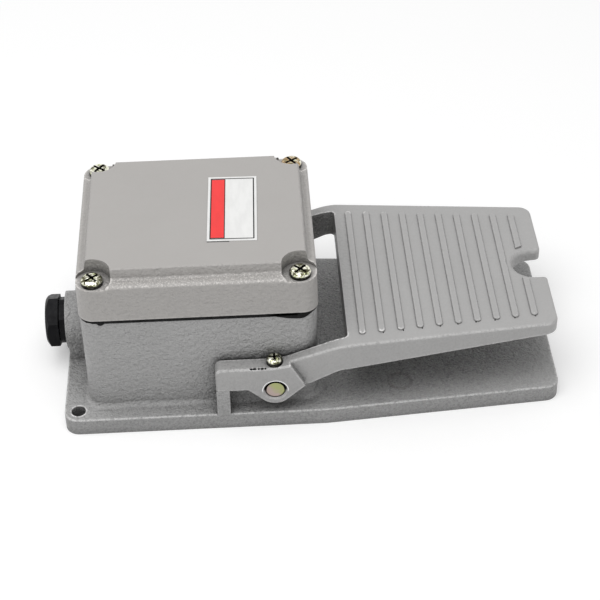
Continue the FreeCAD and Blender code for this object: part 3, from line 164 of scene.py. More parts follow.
class Surface:
    """A procedural material on a principled shader, drawn in the part's own coordinates."""

    def __init__(self, name, roughness=0.5, metallic=0.0):
        self.material = bpy.data.materials.new(name)
        self.material.use_nodes = True
        self.nodes = self.material.node_tree.nodes
        self.links = self.material.node_tree.links
        self.shader = self.nodes["Principled BSDF"]
        self.shader.inputs["Roughness"].default_value = roughness
        self.shader.inputs["Metallic"].default_value = metallic
        self.place = self.nodes.new("ShaderNodeTexCoord").outputs["Object"]
        self.facing = self.nodes.new("ShaderNodeNewGeometry").outputs["Normal"]

    def put(self, value, socket):
        """Links a node's output to a socket, or writes a plain value on it."""
        if isinstance(value, bpy.types.NodeSocket):
            self.links.new(value, socket)
        else:
            socket.default_value = value

    def noise(self, size, detail=2.0, stretch=(1, 1, 1)):
        """Soft noise from 0 to 1, in spots of about the given size. A stretch below 1 makes them longer."""
        scaled = self.nodes.new("ShaderNodeMapping")
        scaled.inputs["Scale"].default_value = stretch
        self.links.new(self.place, scaled.inputs["Vector"])
        node = self.nodes.new("ShaderNodeTexNoise")
        node.inputs["Scale"].default_value = 1 / size
        node.inputs["Detail"].default_value = detail
        self.links.new(scaled.outputs["Vector"], node.inputs["Vector"])
        return node.outputs["Fac"]

    def ramp(self, value, low, high, to_low=0.0, to_high=1.0):
        """A smooth step: to_low where the value is under low, and to_high where it is over high."""
        node = self.nodes.new("ShaderNodeMapRange")
        node.interpolation_type = "SMOOTHSTEP"
        node.inputs["From Min"].default_value = low
        node.inputs["From Max"].default_value = high
        node.inputs["To Min"].default_value = to_low
        node.inputs["To Max"].default_value = to_high
        self.put(value, node.inputs["Value"])
        return node.outputs["Result"]

    def spots(self, size, detail, low, high):
        """Spots of about the given size: 0 where the noise is under low, and 1 where it is over high."""
        return self.ramp(self.noise(size, detail), low, high)

    def compute(self, operation, a, b=0.0):
        node = self.nodes.new("ShaderNodeMath")
        node.operation = operation
        self.put(a, node.inputs[0])
        self.put(b, node.inputs[1])
        return node.outputs[0]

    def times(self, first, *others):
        for other in others:
            first = self.compute("MULTIPLY", first, other)
        return first

    def mix(self, factor, a, b):
        """Colour a where the factor is 0, and b where it is 1."""
        node = self.nodes.new("ShaderNodeMix")
        node.data_type = "RGBA"
        self.put(factor, node.inputs["Factor"])
        self.put(a, node.inputs["A"])
        self.put(b, node.inputs["B"])
        return node.outputs["Result"]

    def occlusion(self, reach, inside):
        node = self.nodes.new("ShaderNodeAmbientOcclusion")
        node.inputs["Distance"].default_value = reach
        node.inside = inside
        node.samples = PROBES
        return node.outputs["AO"]

    def openness(self, reach):
        """0 in tight corners and 1 on open faces."""
        return self.occlusion(reach, inside=False)

    def edges(self, reach):
        """1 on outer edges and 0 on open faces."""
        return self.ramp(self.occlusion(reach, inside=True), EDGE_SHARP, EDGE_OPEN, 1.0, 0.0)

    def part_of(self, vector, axis):
        """One of the three parts of a vector."""
        split = self.nodes.new("ShaderNodeSeparateXYZ")
        self.links.new(vector, split.inputs[0])
        return split.outputs[axis]

    def along(self, axis):
        """How far along an axis of the part a place lies."""
        return self.part_of(self.place, axis)

    def upward(self):
        """1 on faces that look straight up, 0 on upright ones, and -1 on those that look down."""
        return self.part_of(self.facing, "Z")

    def set_colour(self, colour):
        self.put(colour, self.shader.inputs["Base Color"])

    def set_gloss(self, size, detail, low, high):
        """Uneven gloss: a roughness from low to high, in spots of about the given size."""
        self.put(self.ramp(self.noise(size, detail), *NOISE_SPAN, low, high), self.shader.inputs["Roughness"])

    def relief(self, *heights):
        """Bumps one over the other: each is (height, depth of the relief)."""
        normal = None
        for height, depth in heights:
            node = self.nodes.new("ShaderNodeBump")
            node.inputs["Strength"].default_value = 1.0
            node.inputs["Distance"].default_value = depth
            self.put(height, node.inputs["Height"])
            if normal:
                self.links.new(normal, node.inputs["Normal"])
            normal = node.outputs["Normal"]
        self.links.new(normal, self.shader.inputs["Normal"])

    def round_shaft(self, node):
        """How far a place lies right of a shaft's axis along Y, above it and away from it, and the radius."""
        low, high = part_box(node)
        middle = (low + high) / 2
        x = self.compute("SUBTRACT", self.along("X"), middle.x)
        z = self.compute("SUBTRACT", self.along("Z"), middle.z)
        square = self.compute("ADD", self.times(x, x), self.times(z, z))
        return x, z, self.compute("SQRT", square), (high.x - low.x) / 2


def grey(level, warmth=0.0):
    """A grey at a linear level, with the blue lowered by the warmth."""
    return (level, level * (1 - warmth / 2), level * (1 - warmth), 1)


# Spots in the enamel: their size and detail, and the noise where they start and where they are full.
PATCHES = (30 * MM, 3, 0.3, 0.7)
SPECKLES = (1.0 * MM, 4, 0.42, 0.62)
GLINT_SPOTS = (0.8 * MM, 3, 0.50, 0.60)
PALE_EDGE_SPOTS = (1.4 * MM, 3, 0.38, 0.50)
WALL_SHADE_SPOTS = (0.9 * MM, 3, 0.46, 0.60)
SHELTER_SHADE_SPOTS = (1.2 * MM, 3, 0.50, 0.62)
SHELTER_SPECKS = (0.9 * MM, 2, 0.55, 0.66)

# How far the enamel looks for edges and walls.
EDGE_REACH = 1.2 * MM
CORNER_REACH = 4 * MM
WALL_REACH = 9 * MM
SHELTER_REACH = 60 * MM

# Facing: 1 looks straight up, 0 to a side and -1 down. A layer changes between its two values.
LEVEL_FACES = (0.96, 0.995)
GLINTING_FACES = (0.2, 0.6)
LEANING_FACES = (0.05, 0.4)
UNDERSIDES = (-0.5, -0.15)
CORNER_SHADE_FACES = (0.3, 0.8)

# Openness, from 0 in tight corners to 1 on open faces: a layer is full at the first value, gone at the other.
IN_CORNERS = (0.35, 0.95)
BY_WALLS = (0.45, 0.85)
IN_SHELTER = (0.25, 0.85)
IN_PITS = (0.12, 0.42)

# Shades, as shares of the enamel's own level. The corner, grit, shelter and pit shades are painted shade, the
# bare one serves both rubbed paint and painted glints, and the mouth's two are a painted highlight and a
# painted shadow.
PATCH_DARKER, PATCH_PALER = 0.04, 0.03
SPECKLE_SHADE = 0.60
BARE_AND_GLINT_SHADE = 2.1
CORNER_SHADE = 0.36
GRIT_SHADE = 0.25
SHELTER_SHADE = 0.40
PALE_SPECK_SHADE = 1.3
PIT_SHADE = 0.10
MOUTH_HIGHLIGHT, MOUTH_SHADOW = 0.95, 0.004

# How strongly each layer covers.
SPECKLE_STRENGTH = 0.34
CORNER_STRENGTH = 0.62
SHELTER_STRENGTH = 0.75
SHELTER_GRIT_STRENGTH = 0.7
SHELTER_SPECK_STRENGTH = 0.5
PIT_STRENGTH = 0.9
# Pale edges, partly rubbed paint and partly a painted edge highlight: their strength on edges that look down
# and on upright faces.
UNDERSIDE_PALING = 0.9
UPRIGHT_PALING = 0.3

# Painted glints stay below the lid's panel, and few lie further back than the near side.
SPECK_TOP = 83.5 * MM
SPECK_SIDE = -42.0 * MM
SPECK_SIDE_BAND = 4 * MM
SPECKS_BEHIND = 0.12

# The height over which a layer comes in or ends.
STEP_BAND = 1 * MM

# The enamel's skin: the spot size, detail and range of its roughness, and the sizes and depths of its relief.
GLOSS = (6 * MM, 2, 0.34, 0.5)
SWELL_SIZE, SWELL_DEPTH = 14 * MM, 0.25 * MM
PEEL_SIZE, PEEL_DEPTH = 2.0 * MM, 0.50 * MM
SAND_SIZE, SAND_DEPTH = 0.9 * MM, 0.38 * MM

# A shaft's mouth. The upper half is where its shading comes in, by the height over the axis in radii.
UPPER_HALF = (-0.3, 0.1)
MOUTH_WIDTH = 0.8 * MM
MOUTH_EDGE = 0.5 * MM
MOUTH_BLEND = 0.1 * MM


class Enamel(Surface):
    """Grey enamel on a sand casting, in soft patches. Each lay method puts a layer over the colour so far."""

    def __init__(self, name, level, warmth, mottle):
        super().__init__(name)
        self.level = level
        self.warmth = warmth
        self.colour = self.mix(self.spots(*PATCHES), self.shade(1 - PATCH_DARKER * mottle),
                               self.shade(1 + PATCH_PALER * mottle))

    def shade(self, share):
        return grey(self.level * share, self.warmth)

    def lay(self, strength, colour):
        self.colour = self.mix(strength, self.colour, colour)

    def grain_left(self, smooth_top, smooth_from):
        """The share of the casting's grain: 1, but smooth_top on level faces above the height smooth_from."""
        level_face = self.ramp(self.upward(), *LEVEL_FACES)
        high = self.ramp(self.along("Z"), smooth_from, smooth_from + STEP_BAND)
        return self.compute("ADD", self.times(level_face, high, smooth_top - 1), 1.0)

    def lay_speckles(self, grain_left, mottle):
        speckles = self.spots(*SPECKLES)
        self.lay(self.times(speckles, grain_left, SPECKLE_STRENGTH * mottle), self.shade(SPECKLE_SHADE))

    def lay_painted_glints(self, painted_glints):
        """Painted glints: bright specks on faces that look upwards."""
        facing_up = self.ramp(self.upward(), *GLINTING_FACES, 0.0, painted_glints)
        low_enough = self.ramp(self.along("Z"), SPECK_TOP, SPECK_TOP + STEP_BAND, 1.0, 0.0)
        near_side = self.ramp(self.along("Y"), SPECK_SIDE, SPECK_SIDE + SPECK_SIDE_BAND, 1.0, SPECKS_BEHIND)
        specks = self.spots(*GLINT_SPOTS)
        self.lay(self.times(specks, low_enough, near_side, facing_up), self.shade(BARE_AND_GLINT_SHADE))

    def lay_wear_and_highlight(self, axis, near, far, near_paling, far_paling):
        """Pale edges, partly rubbed paint and partly a painted edge highlight, by the distance from an axis'
        zero, and always on edges that look down.
        """
        distance = self.compute("ABSOLUTE", self.along(axis))
        leaning = self.ramp(self.compute("ABSOLUTE", self.upward()), *LEANING_FACES, UPRIGHT_PALING, 1.0)
        strength = self.times(self.ramp(distance, near, far, near_paling, far_paling), leaning)
        underside = self.ramp(self.upward(), *UNDERSIDES, UNDERSIDE_PALING, 0.0)
        pale_edges = self.times(self.edges(EDGE_REACH), self.spots(*PALE_EDGE_SPOTS))
        self.lay(self.times(pale_edges, self.compute("MAXIMUM", strength, underside)), self.shade(BARE_AND_GLINT_SHADE))

    def lay_painted_shade_and_grit(self, shade_and_grit, upright_corner_shade):
        """Painted shade: darker in corners, spotted shade by walls, deep shade with dark grit and pale specks
        in sheltered places, and near-black shade in tight corners.
        """
        level_share = self.ramp(self.upward(), *CORNER_SHADE_FACES, CORNER_STRENGTH * upright_corner_shade, CORNER_STRENGTH)
        corner = self.ramp(self.openness(CORNER_REACH), *IN_CORNERS, 1.0, 0.0)
        self.lay(self.times(corner, level_share), self.shade(CORNER_SHADE))
        open_to_walls = self.openness(WALL_REACH)
        by_wall = self.ramp(open_to_walls, *BY_WALLS, 1.0, 0.0)
        self.lay(self.times(by_wall, self.spots(*WALL_SHADE_SPOTS), shade_and_grit), self.shade(GRIT_SHADE))
        shelter = self.ramp(self.openness(SHELTER_REACH), *IN_SHELTER, 1.0, 0.0)
        self.lay(self.times(shelter, shade_and_grit * SHELTER_STRENGTH), self.shade(SHELTER_SHADE))
        self.lay(self.times(shelter, self.spots(*SHELTER_SHADE_SPOTS), shade_and_grit * SHELTER_GRIT_STRENGTH),
                 self.shade(GRIT_SHADE))
        self.lay(self.times(shelter, self.spots(*SHELTER_SPECKS), shade_and_grit * SHELTER_SPECK_STRENGTH),
                 self.shade(PALE_SPECK_SHADE))
        pit = self.ramp(open_to_walls, *IN_PITS, 1.0, 0.0)
        self.lay(self.times(pit, PIT_STRENGTH), self.shade(PIT_SHADE))

    def lay_mouth(self, shaft):
        """The mouth of the bore round a shaft: a painted shadow just inside it and a painted highlight on its
        edge, both on the upper half.
        """
        _, z, away, radius = self.round_shaft(shaft)
        upper = self.ramp(z, *(radius * edge for edge in UPPER_HALF))
        mouth = radius + MOUTH_WIDTH
        bright = self.ramp(away, mouth + MOUTH_EDGE, mouth + MOUTH_EDGE + MOUTH_BLEND, 1.0, 0.0)
        self.lay(self.times(bright, upper), grey(MOUTH_HIGHLIGHT))
        dark = self.ramp(away, mouth - MOUTH_BLEND, mouth, 1.0, 0.0)
        self.lay(self.times(dark, upper), grey(MOUTH_SHADOW))

    def set_skin(self, grain_left, grain):
        """Uneven gloss, and a relief of soft swells, orange peel and sand."""
        self.set_gloss(*GLOSS)
        peel = self.times(self.noise(PEEL_SIZE, 1), grain_left)
        sand = self.times(self.noise(SAND_SIZE, 3), grain_left)
        self.relief((self.noise(SWELL_SIZE, 1), SWELL_DEPTH), (peel, PEEL_DEPTH * grain),
                    (sand, SAND_DEPTH * grain))


def cast_enamel(name, level, warmth, grain, smooth_top, smooth_from, mottle, shade_and_grit, painted_glints, upright_corner_shade,
                wear_and_highlight, bore=None):
    """Grey enamel at a linear level, whose layers are given by their strengths.

    The grain is the depth of the relief, and smooth_top the share of it left on level faces above the
    height smooth_from. Mottle is the strength of the patches, grime that of the painted shade and grit
    in sheltered places, sparkle that of the painted glints, and upright_corner_shade the share of the painted
    corner shade on upright faces. The tuple wear holds (axis, near, far, strength near, strength far):
    how pale the edges are along an axis, by distance from its zero, partly rubbed paint and partly a
    painted edge highlight. Bore names the shaft whose mouth gets a painted shadow and highlight."""
    enamel = Enamel(name, level, warmth, mottle)
    grain_left = enamel.grain_left(smooth_top, smooth_from)
    enamel.lay_speckles(grain_left, mottle)
    enamel.lay_painted_glints(painted_glints)
    enamel.lay_wear_and_highlight(*wear_and_highlight)
    enamel.lay_painted_shade_and_grit(shade_and_grit, upright_corner_shade)
    if bore:
        enamel.lay_mouth(bore)
    enamel.set_colour(enamel.colour)
    enamel.set_skin(grain_left, grain)
    return enamel.material


RUBBER_DUST = (1.5 * MM, 5, 0.45, 0.75)
RUBBER_DUST_SHADE = 2.6


def rubber(name, level):
    """Black rubber with a dusty, slightly rough skin."""
    surface = Surface(name, roughness=0.7)
    surface.shader.inputs["Specular IOR Level"].default_value = 0.1
    dusty = grey(level * RUBBER_DUST_SHADE)
    surface.set_colour(surface.mix(surface.spots(*RUBBER_DUST), grey(level), dusty))
    surface.relief((surface.noise(0.6 * MM, 3), 0.05 * MM))
    return surface.material


# Detail of the plating's patches, and the noise where they start and where they are full.
PLATE_PATCHES = (3, 0.42, 0.58)
PLATE_TINTS = (2, 0.56, 0.68)
PLATE_TINT_SIZE = 0.7
PLATE_GLOSS = (0.7, 1.4)
SHADE_WARMTH = 0.05
SLOT_REACH = 1.6 * MM
RIM_FACES = (0.1, 0.4)
STAIN = (0.46, 0.29, 0.13, 1)
STAIN_START, STAIN_BAND = 15 * MM, 10 * MM
STAIN_CLOUDS = (2.4 * MM, 3, 0.35, 0.55)


def zinc_plate(name, pale, deep, tint, roughness, spots=2.2 * MM, shade_level=0.04, dents=FINE_DEPTH,
               dark_rim=0.0, stained=0.0):
    """Plated metal: pale and deep patches, a second tint, painted shade in the slots, and fine scuff marks.

    The dark rim is the strength of a painted shade on the faces that stand upright, and stained that of a
    brown stain on what lies far back and to the right."""
    surface = Surface(name, roughness, metallic=1.0)
    colour = surface.mix(surface.spots(spots, *PLATE_PATCHES), pale, deep)
    colour = surface.mix(surface.spots(spots * PLATE_TINT_SIZE, *PLATE_TINTS), colour, tint)
    back_right = surface.compute("ADD", surface.along("X"), surface.along("Y"))
    stain = surface.ramp(back_right, STAIN_START, STAIN_START + STAIN_BAND, 0.0, stained)
    colour = surface.mix(surface.times(stain, surface.spots(*STAIN_CLOUDS)), colour, STAIN)
    # Painted shade: darker in slots and recesses, and on upright faces by the dark rim's strength.
    painted_shade = grey(shade_level, SHADE_WARMTH)
    colour = surface.mix(surface.ramp(surface.openness(SLOT_REACH), *BY_WALLS, 1.0, 0.0), colour, painted_shade)
    colour = surface.mix(surface.ramp(surface.upward(), *RIM_FACES, dark_rim, 0.0), colour, painted_shade)
    surface.set_colour(colour)
    surface.set_gloss(0.8 * MM, 4, *(roughness * share for share in PLATE_GLOSS))
    surface.relief((surface.noise(0.5 * MM, 3), FINE_DEPTH), (surface.noise(1.3 * MM, 2), dents))
    return surface.material


# A shaft's end, in radii: how far from the axis its tint has turned, and where the painted shadow on its
# chamfer starts and is full.
TINT_TURN = 0.8
CHAMFER = (0.80, 0.86)
CHAMFER_SHADOW = 0.003
CHAMFER_BELOW = 0.4
TINT_CLOUD, TINT_CLOUD_SIZE = 0.25, 3 * MM


def passivated_end(name, node, left, right, roughness):
    """A plated shaft whose tint turns from one side of its end to the other, with a painted shadow on its
    chamfer, strongest on the upper half.
    """
    surface = Surface(name, roughness, metallic=1.0)
    x, z, away, radius = surface.round_shaft(node)
    share = surface.ramp(surface.compute("ADD", x, z), -TINT_TURN * radius, TINT_TURN * radius)
    cloud = surface.ramp(surface.noise(TINT_CLOUD_SIZE, 2), *FLOW_SPAN, -TINT_CLOUD, TINT_CLOUD)
    colour = surface.mix(surface.compute("ADD", share, cloud), left, right)
    upper = surface.ramp(z, *(radius * edge for edge in UPPER_HALF), CHAMFER_BELOW, 1.0)
    chamfer = surface.ramp(away, *(radius * edge for edge in CHAMFER))
    surface.set_colour(surface.mix(surface.times(chamfer, upper), colour, grey(CHAMFER_SHADOW)))
    surface.relief((surface.noise(0.8 * MM, 2), FINE_DEPTH))
    return surface.material


FLOW_SIZE, FLOW_STRETCH = 4 * MM, (1, 1, 0.4)
FLOW_PALER, FLOW_LIFT = 1.35, 0.004
MOULDED_GLOSS = (0.8, 1.3)


def moulded(name, colour, roughness, gloss=0.5):
    """Injection-moulded plastic with a faint flow pattern."""
    surface = Surface(name, roughness)
    surface.shader.inputs["Specular IOR Level"].default_value = gloss
    flow = surface.ramp(surface.noise(FLOW_SIZE, 3, FLOW_STRETCH), *FLOW_SPAN)
    paler = tuple(c * FLOW_PALER + FLOW_LIFT for c in colour[:3]) + (1,)
    surface.set_colour(surface.mix(flow, colour, paler))
    surface.set_gloss(1.5 * MM, 3, *(roughness * share for share in MOULDED_GLOSS))
    surface.relief((surface.noise(0.9 * MM, 2), FINE_DEPTH))
    return surface.material


RUB_SIZE, RUB_STRETCH = 3 * MM, (1, 0.3, 1)
RUB_SPAN = (0.35, 0.7)
RUB_DARKER = 0.93


def foil(name, colour, roughness=0.3):
    """Printed foil: almost even, with faint rub marks."""
    surface = Surface(name, roughness)
    rubbed = surface.ramp(surface.noise(RUB_SIZE, 4, RUB_STRETCH), *RUB_SPAN)
    darker = tuple(c * RUB_DARKER for c in colour[:3]) + (1,)
    surface.set_colour(surface.mix(rubbed, colour, darker))
    surface.relief((surface.noise(5 * MM, 1), 0.04 * MM))
    return surface.material


# The printed label

BAR_LEFT = -10.0 * MM
BAR_RIGHT = -3.8 * MM
BAR_END = 22.9 * MM
BAR_CORNER = 0.15 * MM
BAR_BORDER = 0.45 * MM
BAR_BORDER_CORNER = 0.2 * MM
FRAME_INSET = 1.2 * MM
FRAME_LINE = 0.6 * MM
FRAME_CORNER_OUT, FRAME_CORNER_IN = 0.3 * MM, 0.2 * MM
LABEL_TURN = math.radians(-1.4)
LABEL_WIDTH = 23.4 * MM
LABEL_LENGTH = 50.5 * MM
INK = 0.03 * MM
BORDER_INK = 0.018 * MM
EDGE_SHADOW_LENGTH = 10.5 * MM
EDGE_SHADOW_WIDTH = 0.5 * MM
EDGE_SHADOW_CORNER = 0.1 * MM
LABEL_RED = (0.90, 0.035, 0.035, 1)
LABEL_BLACK = (0.004, 0.004, 0.004, 1)


def rounded_outline(x0, y0, x1, y1, radius, steps=5):
    """Points round a rectangle with round corners, anticlockwise."""
    points = []
    for cx, cy, start in ((x1 - radius, y0 + radius, -90), (x1 - radius, y1 - radius, 0),
                          (x0 + radius, y1 - radius, 90), (x0 + radius, y0 + radius, 180)):
        for i in range(steps + 1):
            a = math.radians(start + 90 * i / steps)
            points.append((cx + radius * math.cos(a), cy + radius * math.sin(a)))
    return points


def link_mesh(name, bm, material):
    """Turns a bmesh into an object of the scene, with its faces looking outwards."""
    bmesh.ops.recalc_face_normals(bm, faces=bm.faces)
    mesh = bpy.data.meshes.new(name)
    bm.to_mesh(mesh)
    bm.free()
    obj = bpy.data.objects.new(name, mesh)
    bpy.context.scene.collection.objects.link(obj)
    mesh.materials.append(material)
    return obj


def raised_patch(name, outer, inner, thickness, place, material):
    """A thin layer inside one outline, or between two outlines of as many points."""
    bm = bmesh.new()
    lower = [bm.verts.new(place @ Vector((x, y, 0))) for x, y in outer]
    upper = [bm.verts.new(place @ Vector((x, y, thickness))) for x, y in outer]
    count = len(outer)
    for i in range(count):
        j = (i + 1) % count
        bm.faces.new((lower[i], lower[j], upper[j], upper[i]))
    if inner:
        inner_lower = [bm.verts.new(place @ Vector((x, y, 0))) for x, y in inner]
        inner_upper = [bm.verts.new(place @ Vector((x, y, thickness))) for x, y in inner]
        for i in range(count):
            j = (i + 1) % count
            bm.faces.new((upper[i], upper[j], inner_upper[j], inner_upper[i]))
            bm.faces.new((inner_lower[i], inner_upper[i], inner_upper[j], inner_lower[j]))
    else:
        bm.faces.new(upper)
    return link_mesh(name, bm, material)


def make_label_print():
    """A red bar and a thin black frame printed on the bare label, and a black strip of painted shadow on the
    cover along its near edge.
    """
    low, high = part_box("label_plate")
    middle = (low + high) / 2
    place = Matrix.Translation((middle.x, middle.y, high.z)) @ Matrix.Rotation(LABEL_TURN, 4, "Z")
    lid_place = Matrix.Translation((0, 0, low.z - high.z)) @ place
    red = foil("label_red", LABEL_RED, 0.4)
    black = foil("label_black", LABEL_BLACK, 0.6)
    bar = raised_patch("label_bar", rounded_outline(BAR_LEFT, -BAR_END, BAR_RIGHT, BAR_END, BAR_CORNER), None,
                       INK, place, red)
    outline = rounded_outline(BAR_LEFT - BAR_BORDER, -BAR_END - BAR_BORDER, BAR_RIGHT + BAR_BORDER,
                              BAR_END + BAR_BORDER, BAR_BORDER_CORNER)
    border = raised_patch("label_bar_border", outline, None, BORDER_INK, place, black)
    x, y = LABEL_WIDTH / 2 - FRAME_INSET, LABEL_LENGTH / 2 - FRAME_INSET
    outer = rounded_outline(-x, -y, x, y, FRAME_CORNER_OUT)
    x, y = x - FRAME_LINE, y - FRAME_LINE
    inner = rounded_outline(-x, -y, x, y, FRAME_CORNER_IN)
    line = raised_patch("label_frame", outer, inner, INK, place, black)
    # A painted shadow: a thin black strip on the cover under the label's near edge.
    left, near = -LABEL_WIDTH / 2, -LABEL_LENGTH / 2
    outline = rounded_outline(left, near - EDGE_SHADOW_WIDTH, left + EDGE_SHADOW_LENGTH, near, EDGE_SHADOW_CORNER)
    painted_shade = raised_patch("label_edge_shadow", outline, None, INK, lid_place, black)
    for piece in (bar, border, line, painted_shade):
        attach(piece, "housing")


# The gasket's squeezed edge

WALL_Y = -49.0 * MM
WALL_START = -108.0 * MM
WALL_END = 2.5 * MM
WALL_CORNER = 7.0 * MM
JOINT_TOP = 63.0 * MM
LIP_THICKNESS = 0.45 * MM
LIP_COLUMNS = 36

# How sharply the drop swells along a lip, the thickness at its ends as a share, and how fast that grows.
LIP_SWELL = 1.4
LIP_END_THICKNESS, LIP_TAPER = 0.2, 4

# Each lip's name, start, deepest place and end along X, its depth, and the share of that at its ends.
LIPS = (("gasket_lip", -107.9 * MM, -20.0 * MM, 2.4 * MM, 2.0 * MM, 0.85),
        ("gasket_lip_right", -25.5 * MM, -6.0 * MM, 1.9 * MM, 3.8 * MM, 0.01),
        ("gasket_lip_left", -101.5 * MM, -98.2 * MM, -94.6 * MM, 2.9 * MM, 0.01))


def wall_place(x):
    """The point of the box's outer wall at x, along the near side and round its corners, and the way out."""
    first, last = WALL_START + WALL_CORNER, WALL_END - WALL_CORNER
    middle = min(max(x, first), last)
    across = (x - middle) / WALL_CORNER
    out = Vector((across, -math.sqrt(1 - across * across), 0))
    return Vector((middle, WALL_Y + WALL_CORNER, 0)) + out * WALL_CORNER, out


def make_gasket_lip(name, start, deepest, end, depth, least, material):
    """Rubber that bulges out under the cover and hangs a little over the wall, most at one place."""
    bm = bmesh.new()
    columns = []
    for i in range(LIP_COLUMNS + 1):
        x = start + (end - start) * i / LIP_COLUMNS
        share = (x - start) / (deepest - start) if x < deepest else (end - x) / (end - deepest)
        drop = depth * (least + (1 - least) * math.sin(share * math.pi / 2) ** LIP_SWELL)
        foot, out = wall_place(x)
        outer = LIP_THICKNESS * min(1.0, LIP_END_THICKNESS + share * LIP_TAPER)
        # Each point of the section: its reach out of the wall, and its share of the drop.
        section = ((0.0, 0.0), (outer, 0.0), (outer, 0.7), (outer * 0.6, 0.95), (0.0, 1.0))
        columns.append([bm.verts.new(foot + out * reach + Vector((0, 0, JOINT_TOP - drop * fall)))
                        for reach, fall in section])
    for left, right in zip(columns, columns[1:]):
        for j in range(len(left)):
            k = (j + 1) % len(left)
            bm.faces.new((left[j], right[j], right[k], left[k]))
    bm.faces.new(columns[0])
    bm.faces.new(columns[-1])
    lip = link_mesh(name, bm, material)
    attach(lip, "housing")


# Marks on the castings

MARK_PLACE = (42.8 * MM, -40.6 * MM)
MARK_RADIUS = 5.5 * MM
MARK_BEAD = 0.9 * MM
MARK_RISE = 0.12 * MM
MARK_STEPS_AROUND, MARK_STEPS_ACROSS = 48, 8
FAR_ABOVE = 1.0


def surface_height(node, x, y):
    """The height at which a line from straight above first meets a node."""
    hit, place, _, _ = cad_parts[node].ray_cast(Vector((x, y, FAR_ABOVE)), Vector((0, 0, -1)))
    assert hit, f"nothing of {node} lies under {x}, {y}"
    return place.z


def make_pin_mark(material):
    """The low ring that a mould's pin left on the base, beside the pedal."""
    x, y = MARK_PLACE
    z = surface_height("base_housing", x, y)
    bm = bmesh.new()
    around, across = MARK_STEPS_AROUND, MARK_STEPS_ACROSS
    rings = []
    for i in range(around):
        a = 2 * math.pi * i / around
        ring = []
        for j in range(across):
            b = 2 * math.pi * j / across
            r = MARK_RADIUS + MARK_BEAD * math.cos(b)
            ring.append(bm.verts.new((x + r * math.cos(a), y + r * math.sin(a), z + MARK_RISE * math.sin(b))))
        rings.append(ring)
    for i in range(around):
        for j in range(across):
            a, b = rings[i], rings[(i + 1) % around]
            k = (j + 1) % across
            bm.faces.new((a[j], b[j], b[k], a[k])).smooth = True
    mark = link_mesh("base_pin_mark", bm, material)
    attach(mark, "housing")


# The chips on the tail's edge: their places along X and half lengths, in millimetres.
TAIL_CHIPS = ((-29.6, 0.7), (-28.0, 1.1), (-26.0, 0.6), (-24.4, 0.9), (-22.9, 0.5))
CHIP_THICKNESS = 0.5 * MM
CHIP_FROM_SIDE = 0.6 * MM
FIRST_RIB = 23.5 * MM
RIB_PITCH = 9.2 * MM
RIB_COUNT = 10
RIB_HEIGHT = 0.6 * MM
RIB_SEARCH_START = -25.0 * MM
RIB_SEARCH_STEP = 0.2 * MM
PIT_SIZE = Vector((0.38, 0.494, 0.12)) * MM
GLINT_SIZE = Vector((0.342, 0.304, 0.35)) * MM
PIT_SWAY = 1.0 * MM
SWAY_TURN = 7
CASTING_AND_PIT_DARK = (0.006, 0.006, 0.006, 1)
GLINT_WHITE = (0.85, 0.85, 0.84, 1)


def add_blob(bm, place, size):
    """A flattened ball of the given half sizes."""
    turn = Matrix.Translation(place) @ Matrix.Diagonal((*size, 1))
    bmesh.ops.create_icosphere(bm, subdivisions=2, radius=1.0, matrix=turn)


def rib_end(x):
    """The near end of the rib at x, and the height of the tread there: the first step down along the rib."""
    y = RIB_SEARCH_START
    top = surface_height("pedal", x, y)
    while surface_height("pedal", x, y) > top - RIB_HEIGHT:
        y -= RIB_SEARCH_STEP
    return y, surface_height("pedal", x, y)


def make_tail_chips(material):
    """Places on the near tail's edge where the paint is chipped off to the dark casting."""
    low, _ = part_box("pedal")
    bm = bmesh.new()
    for x, half_length in TAIL_CHIPS:
        y = low.y + CHIP_FROM_SIDE
        z = surface_height("pedal", x * MM, y)
        add_blob(bm, Vector((x * MM, y, z)), (half_length * MM, CHIP_THICKNESS, CHIP_THICKNESS))
    return link_mesh("tail_chips", bm, material)


def make_rib_ends(dark, bright):
    """A dark pit of painted shade and a bright painted glint at the near end of each rib but the first, now
    left and now right.
    """
    pits = bmesh.new()
    glints = bmesh.new()
    for number in range(1, RIB_COUNT):
        x = FIRST_RIB + number * RIB_PITCH
        y, z = rib_end(x)
        sway = PIT_SWAY * math.sin(SWAY_TURN * number)
        add_blob(pits, Vector((x + sway, y, z)), PIT_SIZE)
        add_blob(glints, Vector((x - sway, y + PIT_SWAY, z + RIB_HEIGHT)), GLINT_SIZE)
    return link_mesh("rib_pits", pits, dark), link_mesh("rib_glints", glints, bright)


def make_chips():
    """The chips, pits and glints all move with the pedal."""
    # The dark casting shows in the chips. In the rib pits the same black is painted shade, and the bright
    # blobs are painted glints.
    dark = moulded("bare_casting_and_pit_shade", CASTING_AND_PIT_DARK, 0.7, gloss=0.1)
    chips = make_tail_chips(dark)
    pits, glints = make_rib_ends(dark, foil("painted_glint_white", GLINT_WHITE, 0.4))
    for piece in (chips, pits, glints):
        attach(piece, "pedal")


# The return spring


def make_spring_coil(material):
    """The return spring: a copy of its node in the given material, moving with the contact carrier, while the
    node itself is hidden.
    """
    coil = bpy.data.objects.new("return_coil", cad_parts["return_spring"].data.copy())
    bpy.context.scene.collection.objects.link(coil)
    coil.data.materials.clear()
    coil.data.materials.append(material)
    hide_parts("return_spring")
    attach(coil, "contact_carrier")
    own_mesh(coil)


# Dressing the nodes

def dress(material, *names):
    """Gives the named nodes one material."""
    for name in names:
        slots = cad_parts[name].data.materials
        slots.clear()
        slots.append(material)


